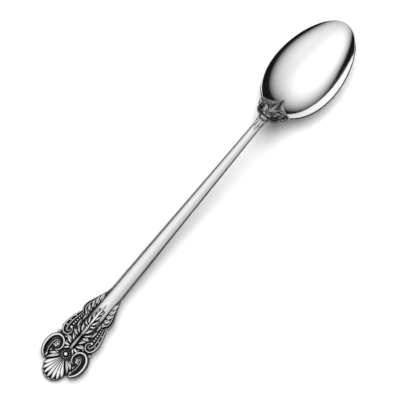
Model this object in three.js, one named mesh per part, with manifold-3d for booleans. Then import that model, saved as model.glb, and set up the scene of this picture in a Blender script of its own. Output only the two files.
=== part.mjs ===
// A long-handled silver feeding spoon for a baby, lying bowl up on a table.
// Millimetres. +X runs from the handle tip to the bowl tip, +Y to the spoon's left, +Z up.
// The origin is on the table, under the middle of the spoon's length and width.
// The spoon is divided where a silversmith joins one: bowl, shoulder, stem, terminal plate
// and the cast ornaments that are soldered on them.
import * as THREE from "three";
import { mergeVertices } from "three/addons/utils/BufferGeometryUtils.js";
import Module from "manifold-3d";

// Overall size and the clearance that every soldered seat keeps.
const SPOON_LENGTH = 146;
const SEAT_GAP = 0.3;

// Bowl: its rim is egg shaped in plan, and dips between the heel and the tip.
const BOWL_LENGTH = 38.5;
const BOWL_WIDTH = 23.4;
const BOWL_EGG = 0.108;
const RIM_HEEL_HEIGHT = 7.55;
const RIM_MIDDLE_HEIGHT = 6.35;
const RIM_TIP_HEIGHT = 7.55;
const BOWL_WALL = 0.95;
const LIP_WIDTH = 0.75;
const LIP_DROP = 0.3;
const FOOT_FLAT = 0.15;
const HEEL_ROUNDNESS = 0.85;
const TIP_ROUNDNESS = 0.6;

// Shoulder, between the stem's neck and the seam across the bowl's heel.
const NECK_SETBACK = 4.5;
const SEAM_INSET = 2.3;
const SHOULDER_RELIEF = 0.7;
const PIP_REACH = 4.4;
const DROP_REACH = 7;
const DROP_WIDTH = 4.6;

// Handle: the stem is straight, and climbs from the handle tip on the table to the neck.
const NECK_RISE = 11.2;
const STEM_ROOT_WIDTH = 5.3;
const STEM_NECK_WIDTH = 2.7;
const STEM_ROOT_THICKNESS = 2.2;
const STEM_NECK_THICKNESS = 2.0;
const STEM_SQUARENESS = 2.5;
const TONGUE_LENGTH = 14;
const HUSK_LENGTH = 5;
const HUSK_WIDTH = 1.5;

// Terminal: a plate that the stem's tongue is let into, with the ornaments on top.
const TERMINAL_LENGTH = 30.5;
const TERMINAL_WIDTH = 15.8;
const PLATE_THICKNESS = 1.2;
const RELIEF = 1.1;
const EDGE_HEIGHT = 0.35;
const BEADS = 7;

// The sizes at which the ornament is drawn, before it is fitted to the terminal and the shoulder.
const PATTERN_LENGTH = 30.5;
const PATTERN_WIDTH = 15.8;
const SHOULDER_PATTERN_LENGTH = 6.8;
const SHOULDER_PATTERN_WIDTH = 11.6;

// Places that follow from the sizes above, along X from the handle tip.
const HEEL_X = SPOON_LENGTH - BOWL_LENGTH;
const SEAM_X = HEEL_X + SEAM_INSET;
const NECK_X = HEEL_X - NECK_SETBACK;
const TONGUE_X = TERMINAL_LENGTH - TONGUE_LENGTH;
const PITCH = Math.atan2(NECK_RISE, NECK_X);
const STEM_LENGTH = NECK_X / Math.cos(PITCH);
const BOWL_DEPTH = RIM_MIDDLE_HEIGHT - BOWL_WALL;
const LENGTH_FIT = TERMINAL_LENGTH / PATTERN_LENGTH;
const WIDTH_FIT = TERMINAL_WIDTH / PATTERN_WIDTH;

// The egg outline is widest where its angle has this cosine, and is this much wider than a circle.
const EGG_COSINE = (Math.sqrt(1 + 8 * BOWL_EGG ** 2) - 1) / (4 * BOWL_EGG);
const EGG_PEAK = Math.sqrt(1 - EGG_COSINE ** 2) * (1 + BOWL_EGG * EGG_COSINE);

const wasm = await Module();
wasm.setup();

const mix = (a, b, t) => a + (b - a) * t;
const clamp01 = (t) => Math.min(1, Math.max(0, t));
const ease = (t) => clamp01(t) ** 2 * (3 - 2 * clamp01(t));
const flip = (faces) => faces.map(([a, b, c]) => [a, c, b]);

// A closed mesh from points and triangles, with doubled points merged and faces turned outwards.
function closedGeometry(points, faces) {
  const loose = new THREE.BufferGeometry().setFromPoints(points);
  loose.setIndex(faces.flat());
  const merged = mergeVertices(loose, 1e-4);
  const index = merged.index.array;
  let kept = [];
  for (let i = 0; i < index.length; i += 3) {
    const [a, b, c] = [index[i], index[i + 1], index[i + 2]];
    if (a !== b && b !== c && a !== c) kept.push([a, b, c]);
  }
  if (signedVolume(merged.attributes.position, kept) < 0) kept = flip(kept);
  merged.setIndex(kept.flat());
  merged.computeVertexNormals();
  return merged;
}

function signedVolume(position, faces) {
  const corner = (i) => new THREE.Vector3().fromBufferAttribute(position, i);
  return faces.reduce((sum, [a, b, c]) => sum + corner(a).dot(corner(b).cross(corner(c))) / 6, 0);
}

// The triangles of a grid of rows * columns points, numbered row by row from first.
function gridFaces(rows, columns, first = 0) {
  const faces = [];
  for (let i = 0; i < rows - 1; i++) {
    for (let j = 0; j < columns - 1; j++) {
      const a = first + i * columns + j;
      const b = a + columns;
      faces.push([a, b, b + 1], [a, b + 1, a + 1]);
    }
  }
  return faces;
}

// A strip of triangles between two rows of point numbers.
function stripFaces(one, other) {
  return one.slice(1).flatMap((next, i) => [
    [one[i], next, other[i + 1]],
    [one[i], other[i + 1], other[i]],
  ]);
}

// The numbers of a grid's border points, once round.
function borderOf(rows, columns, first) {
  const at = (i, j) => first + i * columns + j;
  const border = [];
  for (let i = 0; i < rows - 1; i++) border.push(at(i, 0));
  for (let j = 0; j < columns - 1; j++) border.push(at(rows - 1, j));
  for (let i = rows - 1; i > 0; i--) border.push(at(i, columns - 1));
  for (let j = columns - 1; j > 0; j--) border.push(at(0, j));
  return [...border, border[0]];
}

// A solid between two surfaces over the same patch: over(u, v) and under(u, v) give points.
function patchSolid(rows, columns, over, under) {
  const points = [];
  for (const surface of [over, under]) {
    for (let i = 0; i < rows; i++) {
      for (let j = 0; j < columns; j++) {
        points.push(surface(i / (rows - 1), (2 * j) / (columns - 1) - 1));
      }
    }
  }
  const count = rows * columns;
  return closedGeometry(points, [
    ...gridFaces(rows, columns),
    ...flip(gridFaces(rows, columns, count)),
    ...stripFaces(borderOf(rows, columns, count), borderOf(rows, columns, 0)),
  ]);
}

// A cast ornament: plan(u, v) gives its outline, height(u, v) its relief above seat(x, y).
function relief(rows, columns, plan, height, seat) {
  const under = (u, v) => {
    const [x, y] = plan(u, v);
    return new THREE.Vector3(x, y, seat(x, y));
  };
  const over = (u, v) => {
    const point = under(u, v);
    point.z += height(u, v);
    return point;
  };
  return patchSolid(rows, columns, over, under);
}

// A scroll: a ridge of the given half width along a plan curve. fit scales the drawn plan.
function scrollPlan(route, halfWidth, fit) {
  const curve = new THREE.CatmullRomCurve3(route.map(([x, y]) => new THREE.Vector3(x, y, 0)));
  return (u, v) => {
    const point = curve.getPoint(u);
    const along = curve.getTangent(u);
    const reach = v * halfWidth(u);
    return fit(point.x - along.y * reach, point.y + along.x * reach);
  };
}

// A round ornament about a centre: radius(angle) is its outline and height(share, angle) its relief.
function medallion(centre, spokes, rings, radius, height, seat) {
  const [cx, cy] = centre;
  const plan = (u, v) => {
    const angle = u * 2 * Math.PI;
    const reach = ((v + 1) / 2) * radius(angle);
    return [cx + reach * Math.cos(angle), cy + reach * Math.sin(angle)];
  };
  const points = [];
  for (const lift of [1, 0]) {
    for (let i = 0; i <= spokes; i++) {
      for (let j = 0; j <= rings; j++) {
        const angle = (i / spokes) * 2 * Math.PI;
        const [x, y] = plan((i % spokes) / spokes, (2 * j) / rings - 1);
        points.push(new THREE.Vector3(x, y, seat + lift * height(j / rings, angle)));
      }
    }
  }
  const count = (spokes + 1) * (rings + 1);
  const rim = Array.from({ length: spokes + 1 }, (_, i) => i * (rings + 1) + rings);
  return closedGeometry(points, [
    ...gridFaces(spokes + 1, rings + 1),
    ...flip(gridFaces(spokes + 1, rings + 1, count)),
    ...stripFaces(rim, rim.map((i) => i + count)),
  ]);
}

// A solid skinned over rings of the same number of points, closed by a fan at each end.
function loft(rings) {
  const sides = rings[0].length;
  const points = rings.flat();
  const faces = rings.slice(1).flatMap((_, i) => {
    const here = Array.from({ length: sides + 1 }, (_, j) => i * sides + (j % sides));
    return stripFaces(here, here.map((j) => j + sides));
  });
  [0, rings.length - 1].forEach((i) => {
    const hub = points.length;
    const middle = rings[i].reduce((sum, p) => sum.add(p), new THREE.Vector3());
    points.push(middle.divideScalar(sides));
    for (let j = 0; j < sides; j++) {
      const face = [i * sides + j, i * sides + ((j + 1) % sides), hub];
      faces.push(i === 0 ? [face[1], face[0], face[2]] : face);
    }
  });
  return closedGeometry(points, faces);
}

function solidOf(geometry) {
  const bare = geometry.clone();
  ["normal", "uv"].forEach((name) => bare.deleteAttribute(name));
  const merged = mergeVertices(bare, 1e-4);
  const vertProperties = merged.attributes.position.array;
  const triVerts = new Uint32Array(merged.index.array);
  return new wasm.Manifold(new wasm.Mesh({ numProp: 3, vertProperties, triVerts }));
}

function cut(geometry, tool) {
  const mesh = solidOf(geometry).subtract(solidOf(tool)).getMesh();
  const made = new THREE.BufferGeometry();
  made.setAttribute("position", new THREE.BufferAttribute(mesh.vertProperties, 3));
  made.setIndex(new THREE.BufferAttribute(mesh.triVerts, 1));
  made.computeVertexNormals();
  return made;
}

// Finishes: bright polished silver, and silver with darkened recesses on the ornaments.
const polished = { color: 0xe4e4e2, metalness: 1, roughness: 0.1 };
const antiqued = { color: 0x9a9a98, metalness: 1, roughness: 0.3 };

function piece(name, geometry, finish) {
  const mesh = new THREE.Mesh(geometry, new THREE.MeshStandardMaterial(finish));
  mesh.name = name;
  return mesh;
}

// The left and right copies of a piece: make(side) builds it for side 1 or -1.
function pair(name, make) {
  return [
    piece(`${name}_left`, make(1), antiqued),
    piece(`${name}_right`, make(-1), antiqued),
  ];
}

// Bowl

// Half the width of an egg outline of this length and width, which starts at start.
function eggHalfWidth(x, start, length, width) {
  const cosine = 1 - (2 * (x - start)) / length;
  const sine = Math.sqrt(Math.max(0, 1 - cosine ** 2));
  return ((width / 2) * sine * (1 + BOWL_EGG * cosine)) / EGG_PEAK;
}

const outerHalfWidth = (x) => eggHalfWidth(x, HEEL_X, BOWL_LENGTH, BOWL_WIDTH);
const innerHalfWidth = (x) =>
  eggHalfWidth(x, HEEL_X + LIP_WIDTH, BOWL_LENGTH - 2 * LIP_WIDTH, BOWL_WIDTH - 2 * LIP_WIDTH);

function rimHeight(x) {
  const t = (x - HEEL_X) / BOWL_LENGTH;
  const heel = RIM_HEEL_HEIGHT * (1 - t) * (1 - 2 * t);
  return heel + RIM_MIDDLE_HEIGHT * 4 * t * (1 - t) + RIM_TIP_HEIGHT * t * (2 * t - 1);
}

// How the bowl's bottom climbs along its length, from 0 in the middle to 1 at the heel and the tip.
function bottomRise(s) {
  const roundness = mix(HEEL_ROUNDNESS, TIP_ROUNDNESS, ease((s + 1) / 2));
  return mix(s ** 4, s ** 2, roundness);
}

// The share of the full depth at a place that lies s along and v across, each from -1 to 1.
const depthShare = (s, v) => (1 - bottomRise(s)) * (1 - v ** 2);

const bowlShare = (x, length) => (x - HEEL_X - BOWL_LENGTH / 2) / (length / 2);

function innerHeight(x, v) {
  const s = bowlShare(x, BOWL_LENGTH - 2 * LIP_WIDTH);
  return rimHeight(x) - BOWL_DEPTH * depthShare(s, v);
}

function outerHeight(x, v) {
  const deepest = RIM_MIDDLE_HEIGHT - LIP_DROP + FOOT_FLAT;
  const height = rimHeight(x) - LIP_DROP - deepest * depthShare(bowlShare(x, BOWL_LENGTH), v);
  return Math.max(0, height);
}

function bowlGeometry() {
  const tip = SPOON_LENGTH;
  const station = (u, end) => mix(SEAM_X, end, Math.sin((u * Math.PI) / 2));
  const inner = (u, v) => {
    const x = station(u, tip - LIP_WIDTH);
    return new THREE.Vector3(x, v * innerHalfWidth(x), innerHeight(x, v));
  };
  const outer = (u, v) => {
    const x = station(u, tip);
    return new THREE.Vector3(x, v * outerHalfWidth(x), outerHeight(x, v));
  };
  return patchSolid(30, 23, inner, outer);
}

// The drop is the tongue under the bowl that stiffens its seam with the shoulder.
function bowlDropGeometry() {
  const plan = (u, v) => {
    const x = SEAM_X + SEAT_GAP + u * DROP_REACH;
    return [x, v * (DROP_WIDTH / 2) * Math.sqrt(1 - u ** 3)];
  };
  const seat = (x, y) => outerHeight(x, y / outerHalfWidth(x)) - SEAT_GAP;
  const height = (u, v) => -(EDGE_HEIGHT + 0.5 * SHOULDER_RELIEF * (1 - v ** 2) * (1 - u));
  return relief(14, 9, plan, height, seat);
}

// Shoulder

const neckTop = NECK_RISE + STEM_NECK_THICKNESS / Math.cos(PITCH);
const shoulderEnd = SEAM_X - SEAT_GAP;
const shoulderShare = (x) => clamp01((x - NECK_X) / (SEAM_X - NECK_X));
const shoulderHalfWidth = (x) =>
  mix(STEM_NECK_WIDTH / 2, outerHalfWidth(SEAM_X), shoulderShare(x) ** 0.85);
const shoulderTop = (x) => mix(neckTop, rimHeight(SEAM_X), ease(shoulderShare(x)));
const shoulderBottom = (x) => mix(NECK_RISE, outerHeight(SEAM_X, 0), ease(shoulderShare(x)));

// The section's widest place lies at the rim's height by the bowl, and half way up by the neck.
function shoulderWaist(x) {
  const middle = (shoulderTop(x) + shoulderBottom(x)) / 2;
  return mix(middle, shoulderTop(x) - LIP_DROP, ease(shoulderShare(x)));
}

function shoulderSurface(x, y) {
  const crown = Math.sqrt(Math.max(0, 1 - (y / shoulderHalfWidth(x)) ** 2));
  return mix(shoulderWaist(x), shoulderTop(x), crown);
}

function shoulderFit(side) {
  const along = (SEAM_X - NECK_X) / SHOULDER_PATTERN_LENGTH;
  const across = (2 * outerHalfWidth(SEAM_X)) / SHOULDER_PATTERN_WIDTH;
  return (x, y) => [NECK_X + x * along, side * y * across];
}

function shoulderGeometry() {
  const stations = 9;
  const sides = 20;
  const start = NECK_X + SEAT_GAP;
  const rings = Array.from({ length: stations }, (_, i) => {
    const x = mix(start, shoulderEnd, i / (stations - 1));
    const [top, bottom, waist] = [shoulderTop(x), shoulderBottom(x), shoulderWaist(x)];
    return Array.from({ length: sides }, (_, j) => {
      const angle = (j / sides) * 2 * Math.PI;
      const lift = Math.sin(angle);
      const z = waist + lift * (lift > 0 ? top - waist : waist - bottom);
      return new THREE.Vector3(x, shoulderHalfWidth(x) * Math.cos(angle), z);
    });
  });
  return loft(rings);
}

// The leaf lies on the shoulder's top, and its pip runs down into the bowl.
function shoulderLeafGeometry() {
  const outline = new THREE.SplineCurve([
    new THREE.Vector2(1.6, 0.3),
    new THREE.Vector2(3.2, 1.9),
    new THREE.Vector2(4.6, 2.0),
    new THREE.Vector2(5.7, 2.9),
    new THREE.Vector2(6.8, 4.1),
    new THREE.Vector2(7.6, 2.6),
    new THREE.Vector2(9, 1.1),
  ]);
  const tip = SEAM_X + PIP_REACH;
  const fit = shoulderFit(1);
  const plan = (u, v) => {
    const edge = outline.getPoint(Math.min(1, u / 0.9));
    const [x, y] = fit(edge.x, edge.y);
    const end = ease((u - 0.8) / 0.2);
    return [mix(x, tip, end), v * mix(y, 0.25, end)];
  };
  const pipHeight = innerHeight(tip, 0);
  const seat = (x, y) => {
    const down = (x - shoulderEnd) / (tip - shoulderEnd);
    const slope = mix(shoulderTop(SEAM_X), pipHeight, down);
    return (x < shoulderEnd ? shoulderSurface(x, y) : slope) + SEAT_GAP;
  };
  const height = (u, v) => EDGE_HEIGHT + SHOULDER_RELIEF * (1 - v ** 2) * Math.sin(Math.PI * u);
  return relief(21, 9, plan, height, seat);
}

// Each shoulder scroll swells out from the neck, and runs on to the corner of the bowl.
function shoulderScrollGeometry(side) {
  const route = [
    [0.9, 1.3],
    [1.9, 2.7],
    [3.3, 3.4],
    [4.5, 3.2],
    [5.2, 3.8],
    [6, 4.8],
  ];
  const plan = scrollPlan(route, (u) => mix(0.45, 0.65, Math.sin(Math.PI * u)), shoulderFit(side));
  const seat = (x, y) => shoulderSurface(x, y) + SEAT_GAP;
  const height = (u, v) => EDGE_HEIGHT + SHOULDER_RELIEF * (1 - v ** 2);
  return relief(18, 5, plan, height, seat);
}

// Stem and neck husk, in the handle's own frame: X along the handle, and Z square to its back.

const stemShare = (x) => clamp01((x - TERMINAL_LENGTH) / (STEM_LENGTH - TERMINAL_LENGTH));
const stemWidth = (x) => mix(STEM_ROOT_WIDTH, STEM_NECK_WIDTH, stemShare(x));
const stemThickness = (x) => mix(STEM_ROOT_THICKNESS, STEM_NECK_THICKNESS, stemShare(x));

function stemRing(x, round, isNeck) {
  const sides = 20;
  const power = 2 / STEM_SQUARENESS;
  const bulge = (t) => Math.sign(t) * Math.abs(t) ** power;
  return Array.from({ length: sides }, (_, j) => {
    const angle = (j / sides) * 2 * Math.PI;
    const z = (stemThickness(x) / 2) * (1 + bulge(Math.sin(angle)));
    const lean = isNeck ? z * Math.tan(PITCH) : 0;
    const y = (stemWidth(x) / 2) * round * bulge(Math.cos(angle));
    return new THREE.Vector3(x + lean, y, z);
  });
}

function stemGeometry() {
  const radius = STEM_ROOT_WIDTH / 2;
  const nose = [0.03, 0.12, 0.3, 0.6, 1].map((t) =>
    stemRing(TONGUE_X + t * radius, Math.sqrt(1 - (1 - t) ** 2), false),
  );
  const bars = 12;
  const shank = Array.from({ length: bars }, (_, i) => {
    const x = mix(TONGUE_X + radius, STEM_LENGTH, (i + 1) / bars);
    return stemRing(x, 1, i === bars - 1);
  });
  return loft([...nose, ...shank]);
}

function neckHuskGeometry() {
  const end = STEM_LENGTH - SEAT_GAP;
  const halfWidth = (u) => (HUSK_WIDTH / 2) * Math.sqrt(Math.sin(Math.PI * mix(0.04, 0.9, u)));
  const plan = (u, v) => [mix(end - HUSK_LENGTH, end, u), v * halfWidth(u)];
  const seat = (x) => stemThickness(x) + SEAT_GAP;
  const height = (u, v) => 0.5 * EDGE_HEIGHT + 0.5 * SHOULDER_RELIEF * (1 - v ** 2) * u;
  return relief(10, 7, plan, height, seat);
}

// Terminal, in the handle's frame

const plateSeat = () => PLATE_THICKNESS + SEAT_GAP;
const patternFit = (side) => (x, y) => [x * LENGTH_FIT, side * y * WIDTH_FIT];

// The slot that the stem's tongue lies in, cut through whatever is this tall.
function tongueSlot(height) {
  const radius = STEM_ROOT_WIDTH / 2;
  const mouth = TERMINAL_LENGTH + TONGUE_LENGTH;
  const half = radius + SEAT_GAP;
  const outline = new THREE.Shape();
  outline.moveTo(mouth, -half);
  outline.lineTo(mouth, half);
  outline.lineTo(TONGUE_X + radius, half);
  outline.absarc(TONGUE_X + radius, 0, half, Math.PI / 2, 1.5 * Math.PI, false);
  const options = { depth: height + 2, bevelEnabled: false, curveSegments: 10 };
  const slot = new THREE.ExtrudeGeometry(outline, options);
  return slot.translate(0, 0, -1);
}

function terminalPlateGeometry() {
  const half = [
    [0.05, 0.5],
    [0.35, 1.6],
    [1.5, 2.9],
    [3.2, 3.7],
    [4.8, 4.3],
    [6.6, 6.6],
    [9.4, 7.4],
    [12.2, 6.8],
    [14.4, 6.1],
    [18.5, 5.6],
    [22.8, 4.5],
    [25.2, 4.9],
    [28, 4],
  ].map(([x, y]) => new THREE.Vector2(x, y));
  const edge = new THREE.SplineCurve([...half, new THREE.Vector2(PATTERN_LENGTH, 3)]).getPoints(36);
  const other = edge.map((p) => new THREE.Vector2(p.x, -p.y)).reverse();
  const outline = [...edge, ...other].map((p) => new THREE.Vector2(p.x * LENGTH_FIT, p.y * WIDTH_FIT));
  const shape = new THREE.Shape(outline);
  const plate = new THREE.ExtrudeGeometry(shape, { depth: PLATE_THICKNESS, bevelEnabled: false });
  return cut(plate, tongueSlot(PLATE_THICKNESS));
}

// A fluted shell covers the handle's tip.
function tipShellGeometry() {
  const hinge = 7.9;
  const reach = 7.4;
  const spread = 0.6;
  const flutes = 7;
  const fit = patternFit(1);
  const plan = (u, v) => {
    const rim = 1 - 0.2 * v ** 2 + 0.05 * Math.cos(v * flutes * Math.PI);
    const radius = mix(0.7, reach * rim, u);
    const angle = v * spread;
    return fit(hinge - radius * Math.cos(angle), radius * Math.sin(angle));
  };
  const height = (u, v) => {
    const ridge = 0.75 + 0.25 * Math.cos(v * flutes * Math.PI);
    return EDGE_HEIGHT + (RELIEF - EDGE_HEIGHT) * Math.sin(Math.PI * mix(0.15, 0.9, u)) * ridge;
  };
  return relief(8, 29, plan, height, plateSeat);
}

function shellBossGeometry() {
  const centre = patternFit(1)(9.3, 0);
  const radius = 1.4 * Math.min(LENGTH_FIT, WIDTH_FIT);
  const dome = (share) => EDGE_HEIGHT + 0.9 * RELIEF * Math.sqrt(1 - share ** 2);
  return medallion(centre, 20, 5, () => radius, dome, plateSeat());
}

// The middle leaf climbs from the plate on to the stem's tongue.
function acanthusLeafGeometry() {
  const lobes = 6;
  const outline = new THREE.SplineCurve([
    new THREE.Vector2(11, 0.7),
    new THREE.Vector2(12.6, 2.4),
    new THREE.Vector2(14.4, 2.7),
    new THREE.Vector2(17, 2.1),
    new THREE.Vector2(21, 1.5),
    new THREE.Vector2(25, 0.8),
    new THREE.Vector2(27.5, 0.2),
  ]);
  const step = TONGUE_X - SEAT_GAP;
  const plan = (u, v) => {
    const edge = outline.getPoint(u);
    const lobe = 1 - 0.25 * (u * lobes - Math.floor(u * lobes - 1e-6));
    return [edge.x * LENGTH_FIT, v * edge.y * lobe * WIDTH_FIT];
  };
  const seat = (x) => {
    const climb = ease((x - step + STEM_ROOT_THICKNESS) / STEM_ROOT_THICKNESS);
    return mix(PLATE_THICKNESS, STEM_ROOT_THICKNESS, climb) + SEAT_GAP;
  };
  const height = (u, v) => {
    const rib = 0.5 + 0.5 * Math.cos(v * 2 * Math.PI);
    return EDGE_HEIGHT + (RELIEF - EDGE_HEIGHT) * (1 - v ** 2) * mix(0.7, 1, rib) * mix(1, 0.4, u);
  };
  return relief(31, 9, plan, height, seat);
}

// The lower scrolls round off the terminal's two shoulders, each about a rosette.
function lowerScrollGeometry(side) {
  const route = [
    [5, 4.4],
    [6, 5.8],
    [7.6, 6.75],
    [9.6, 6.95],
    [11.4, 6.4],
    [12.1, 5],
    [11.5, 3.6],
    [10.1, 2.95],
    [8.6, 3.2],
    [7.9, 4.3],
  ];
  const plan = scrollPlan(route, (u) => mix(0.4, 0.95, Math.sin(Math.PI * u ** 0.7)), patternFit(side));
  const height = (u, v) => EDGE_HEIGHT + (RELIEF - EDGE_HEIGHT) * (1 - v ** 2);
  return relief(30, 5, plan, height, plateSeat);
}

function rosetteGeometry(side) {
  const centre = patternFit(side)(9.85, 4.85);
  const petals = 5;
  const size = Math.min(LENGTH_FIT, WIDTH_FIT);
  const petal = (angle) => Math.abs(Math.cos((angle * petals) / 2));
  const radius = (angle) => size * mix(0.68, 0.86, petal(angle));
  const height = (share, angle) => {
    const heart = Math.max(0, 1 - (share / 0.4) ** 2);
    const swell = Math.sin(Math.PI * 0.92 * share) * mix(0.3, 0.6, petal(angle));
    return EDGE_HEIGHT + RELIEF * (swell + 0.5 * heart);
  };
  return medallion(centre, 30, 5, radius, height, plateSeat());
}

// The upper scrolls run along the terminal's waist, and curl in above the lower ones.
function upperScrollGeometry(side) {
  const route = [
    [23, 4.5],
    [21, 5.3],
    [18.4, 6],
    [16, 6.15],
    [14.5, 5.4],
    [14.4, 4.2],
    [15.5, 3.7],
    [16.5, 4.4],
  ];
  const plan = scrollPlan(route, (u) => mix(0.3, 0.62, Math.sin(Math.PI * u ** 0.9)), patternFit(side));
  const height = (u, v) => EDGE_HEIGHT + (RELIEF - EDGE_HEIGHT) * (1 - v ** 2);
  return relief(28, 5, plan, height, plateSeat);
}

// A row of graduated beads on one strip, between each upper scroll and the stem.
function beadRowGeometry(side) {
  const route = [
    [17.9, 4.15],
    [20.4, 3.95],
    [22.9, 3.6],
  ];
  const swell = (u) => {
    const t = 2 * (u * BEADS - Math.floor(u * BEADS - 1e-6)) - 1;
    return mix(0.35, 1, Math.sqrt(Math.max(0, 1 - t ** 2))) * mix(1, 0.7, u);
  };
  const plan = scrollPlan(route, (u) => 0.46 * swell(u), patternFit(side));
  const height = (u, v) => 0.5 * EDGE_HEIGHT + 0.6 * RELIEF * swell(u) * (1 - v ** 2);
  return relief(6 * BEADS + 1, 5, plan, height, plateSeat);
}

// Half leaves fill the space beside the stem, from the upper scrolls to past the plate's end.
function sideLeafGeometry(side) {
  const inner = 2.2;
  const outline = new THREE.SplineCurve([
    new THREE.Vector2(23.6, 2.4),
    new THREE.Vector2(23.9, 4.5),
    new THREE.Vector2(25, 5.4),
    new THREE.Vector2(26.6, 4.9),
    new THREE.Vector2(28.4, 4.1),
    new THREE.Vector2(30, 3.3),
    new THREE.Vector2(PATTERN_LENGTH + 1, 2.4),
  ]);
  const fit = patternFit(side);
  const plan = (u, v) => {
    const edge = outline.getPoint(u);
    return fit(edge.x, mix(inner, edge.y, (v + 1) / 2));
  };
  const height = (u, v) => {
    const rib = 0.75 + 0.25 * Math.cos(v * 2 * Math.PI);
    return EDGE_HEIGHT + (RELIEF - EDGE_HEIGHT) * (1 - v ** 2) * rib * mix(1, 0.3, u);
  };
  const whole = relief(17, 7, plan, height, plateSeat);
  return cut(whole, tongueSlot(PLATE_THICKNESS + 2 * RELIEF));
}

// Assembly: the handle is a turned group, so its pieces are drawn flat.

const handle = new THREE.Group();
handle.rotation.y = -PITCH;
handle.add(
  piece("stem", stemGeometry(), polished),
  piece("neck_husk", neckHuskGeometry(), antiqued),
  piece("terminal_plate", terminalPlateGeometry(), antiqued),
  piece("tip_shell", tipShellGeometry(), antiqued),
  piece("shell_boss", shellBossGeometry(), antiqued),
  piece("acanthus_leaf", acanthusLeafGeometry(), antiqued),
  ...pair("lower_scroll", lowerScrollGeometry),
  ...pair("rosette", rosetteGeometry),
  ...pair("upper_scroll", upperScrollGeometry),
  ...pair("bead_row", beadRowGeometry),
  ...pair("side_leaf", sideLeafGeometry),
);

const spoon = new THREE.Group();
spoon.position.x = -SPOON_LENGTH / 2;
spoon.add(
  handle,
  piece("bowl", bowlGeometry(), polished),
  piece("bowl_drop", bowlDropGeometry(), polished),
  piece("shoulder", shoulderGeometry(), antiqued),
  piece("shoulder_leaf", shoulderLeafGeometry(), antiqued),
  ...pair("shoulder_scroll", shoulderScrollGeometry),
);

const part = new THREE.Group();
part.add(spoon);

export default part;
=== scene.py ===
"""A long-handled silver feeding spoon for a baby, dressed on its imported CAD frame.

The spoon lies bowl up on a table: +X runs from the handle tip to the bowl tip, +Y to its left.
Pieces are drawn in millimetres, measured from the handle tip, and are placed in metres.
"""

import logging
import math
from collections.abc import Callable, Sequence
from dataclasses import dataclass, field
from enum import Enum

import bmesh
import bpy
import numpy as np
from mathutils import Matrix, Vector
from mathutils.bvhtree import BVHTree


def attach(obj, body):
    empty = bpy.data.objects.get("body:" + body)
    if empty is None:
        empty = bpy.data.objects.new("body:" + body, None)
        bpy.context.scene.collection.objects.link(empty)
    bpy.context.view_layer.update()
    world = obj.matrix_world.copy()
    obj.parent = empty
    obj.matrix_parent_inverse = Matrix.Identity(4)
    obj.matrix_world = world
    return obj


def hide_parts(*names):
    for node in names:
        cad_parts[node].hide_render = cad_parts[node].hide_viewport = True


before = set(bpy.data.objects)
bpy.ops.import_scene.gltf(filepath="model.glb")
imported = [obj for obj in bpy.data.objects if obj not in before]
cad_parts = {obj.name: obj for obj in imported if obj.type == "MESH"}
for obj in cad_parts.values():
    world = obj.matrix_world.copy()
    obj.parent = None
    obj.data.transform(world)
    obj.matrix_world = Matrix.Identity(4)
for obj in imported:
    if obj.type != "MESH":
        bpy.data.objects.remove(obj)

LOG = logging.getLogger("spoon")
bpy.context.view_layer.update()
MERGE_DISTANCE = 1e-4
SPOON_LENGTH = 146.0
NECK_X = 103.0
NECK_RISE = 11.2
PITCH = math.atan2(NECK_RISE, NECK_X)
TABLE_PLACE = Matrix.Scale(0.001, 4) @ Matrix.Translation((-SPOON_LENGTH / 2, 0, 0))
HANDLE_PLACE = TABLE_PLACE @ Matrix.Rotation(-PITCH, 4, "Y")

Number = float | int
Grid = np.ndarray
Surface = Callable[[Grid, Grid], Grid]


class Side(Enum):
    """The two sides of the spoon, by the sign of Y."""

    LEFT = 1
    RIGHT = -1

    @property
    def word(self) -> str:
        """The side's name in a node's name."""
        return self.name.lower()

    @property
    def turn(self) -> Matrix:
        """The matrix that brings a piece drawn on the left to this side."""
        return Matrix.Diagonal((1, self.value, 1, 1))


class Slot(Enum):
    """The material slots of the record."""

    POLISHED = "polished_silver"
    ANTIQUED = "antiqued_silver"


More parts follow.
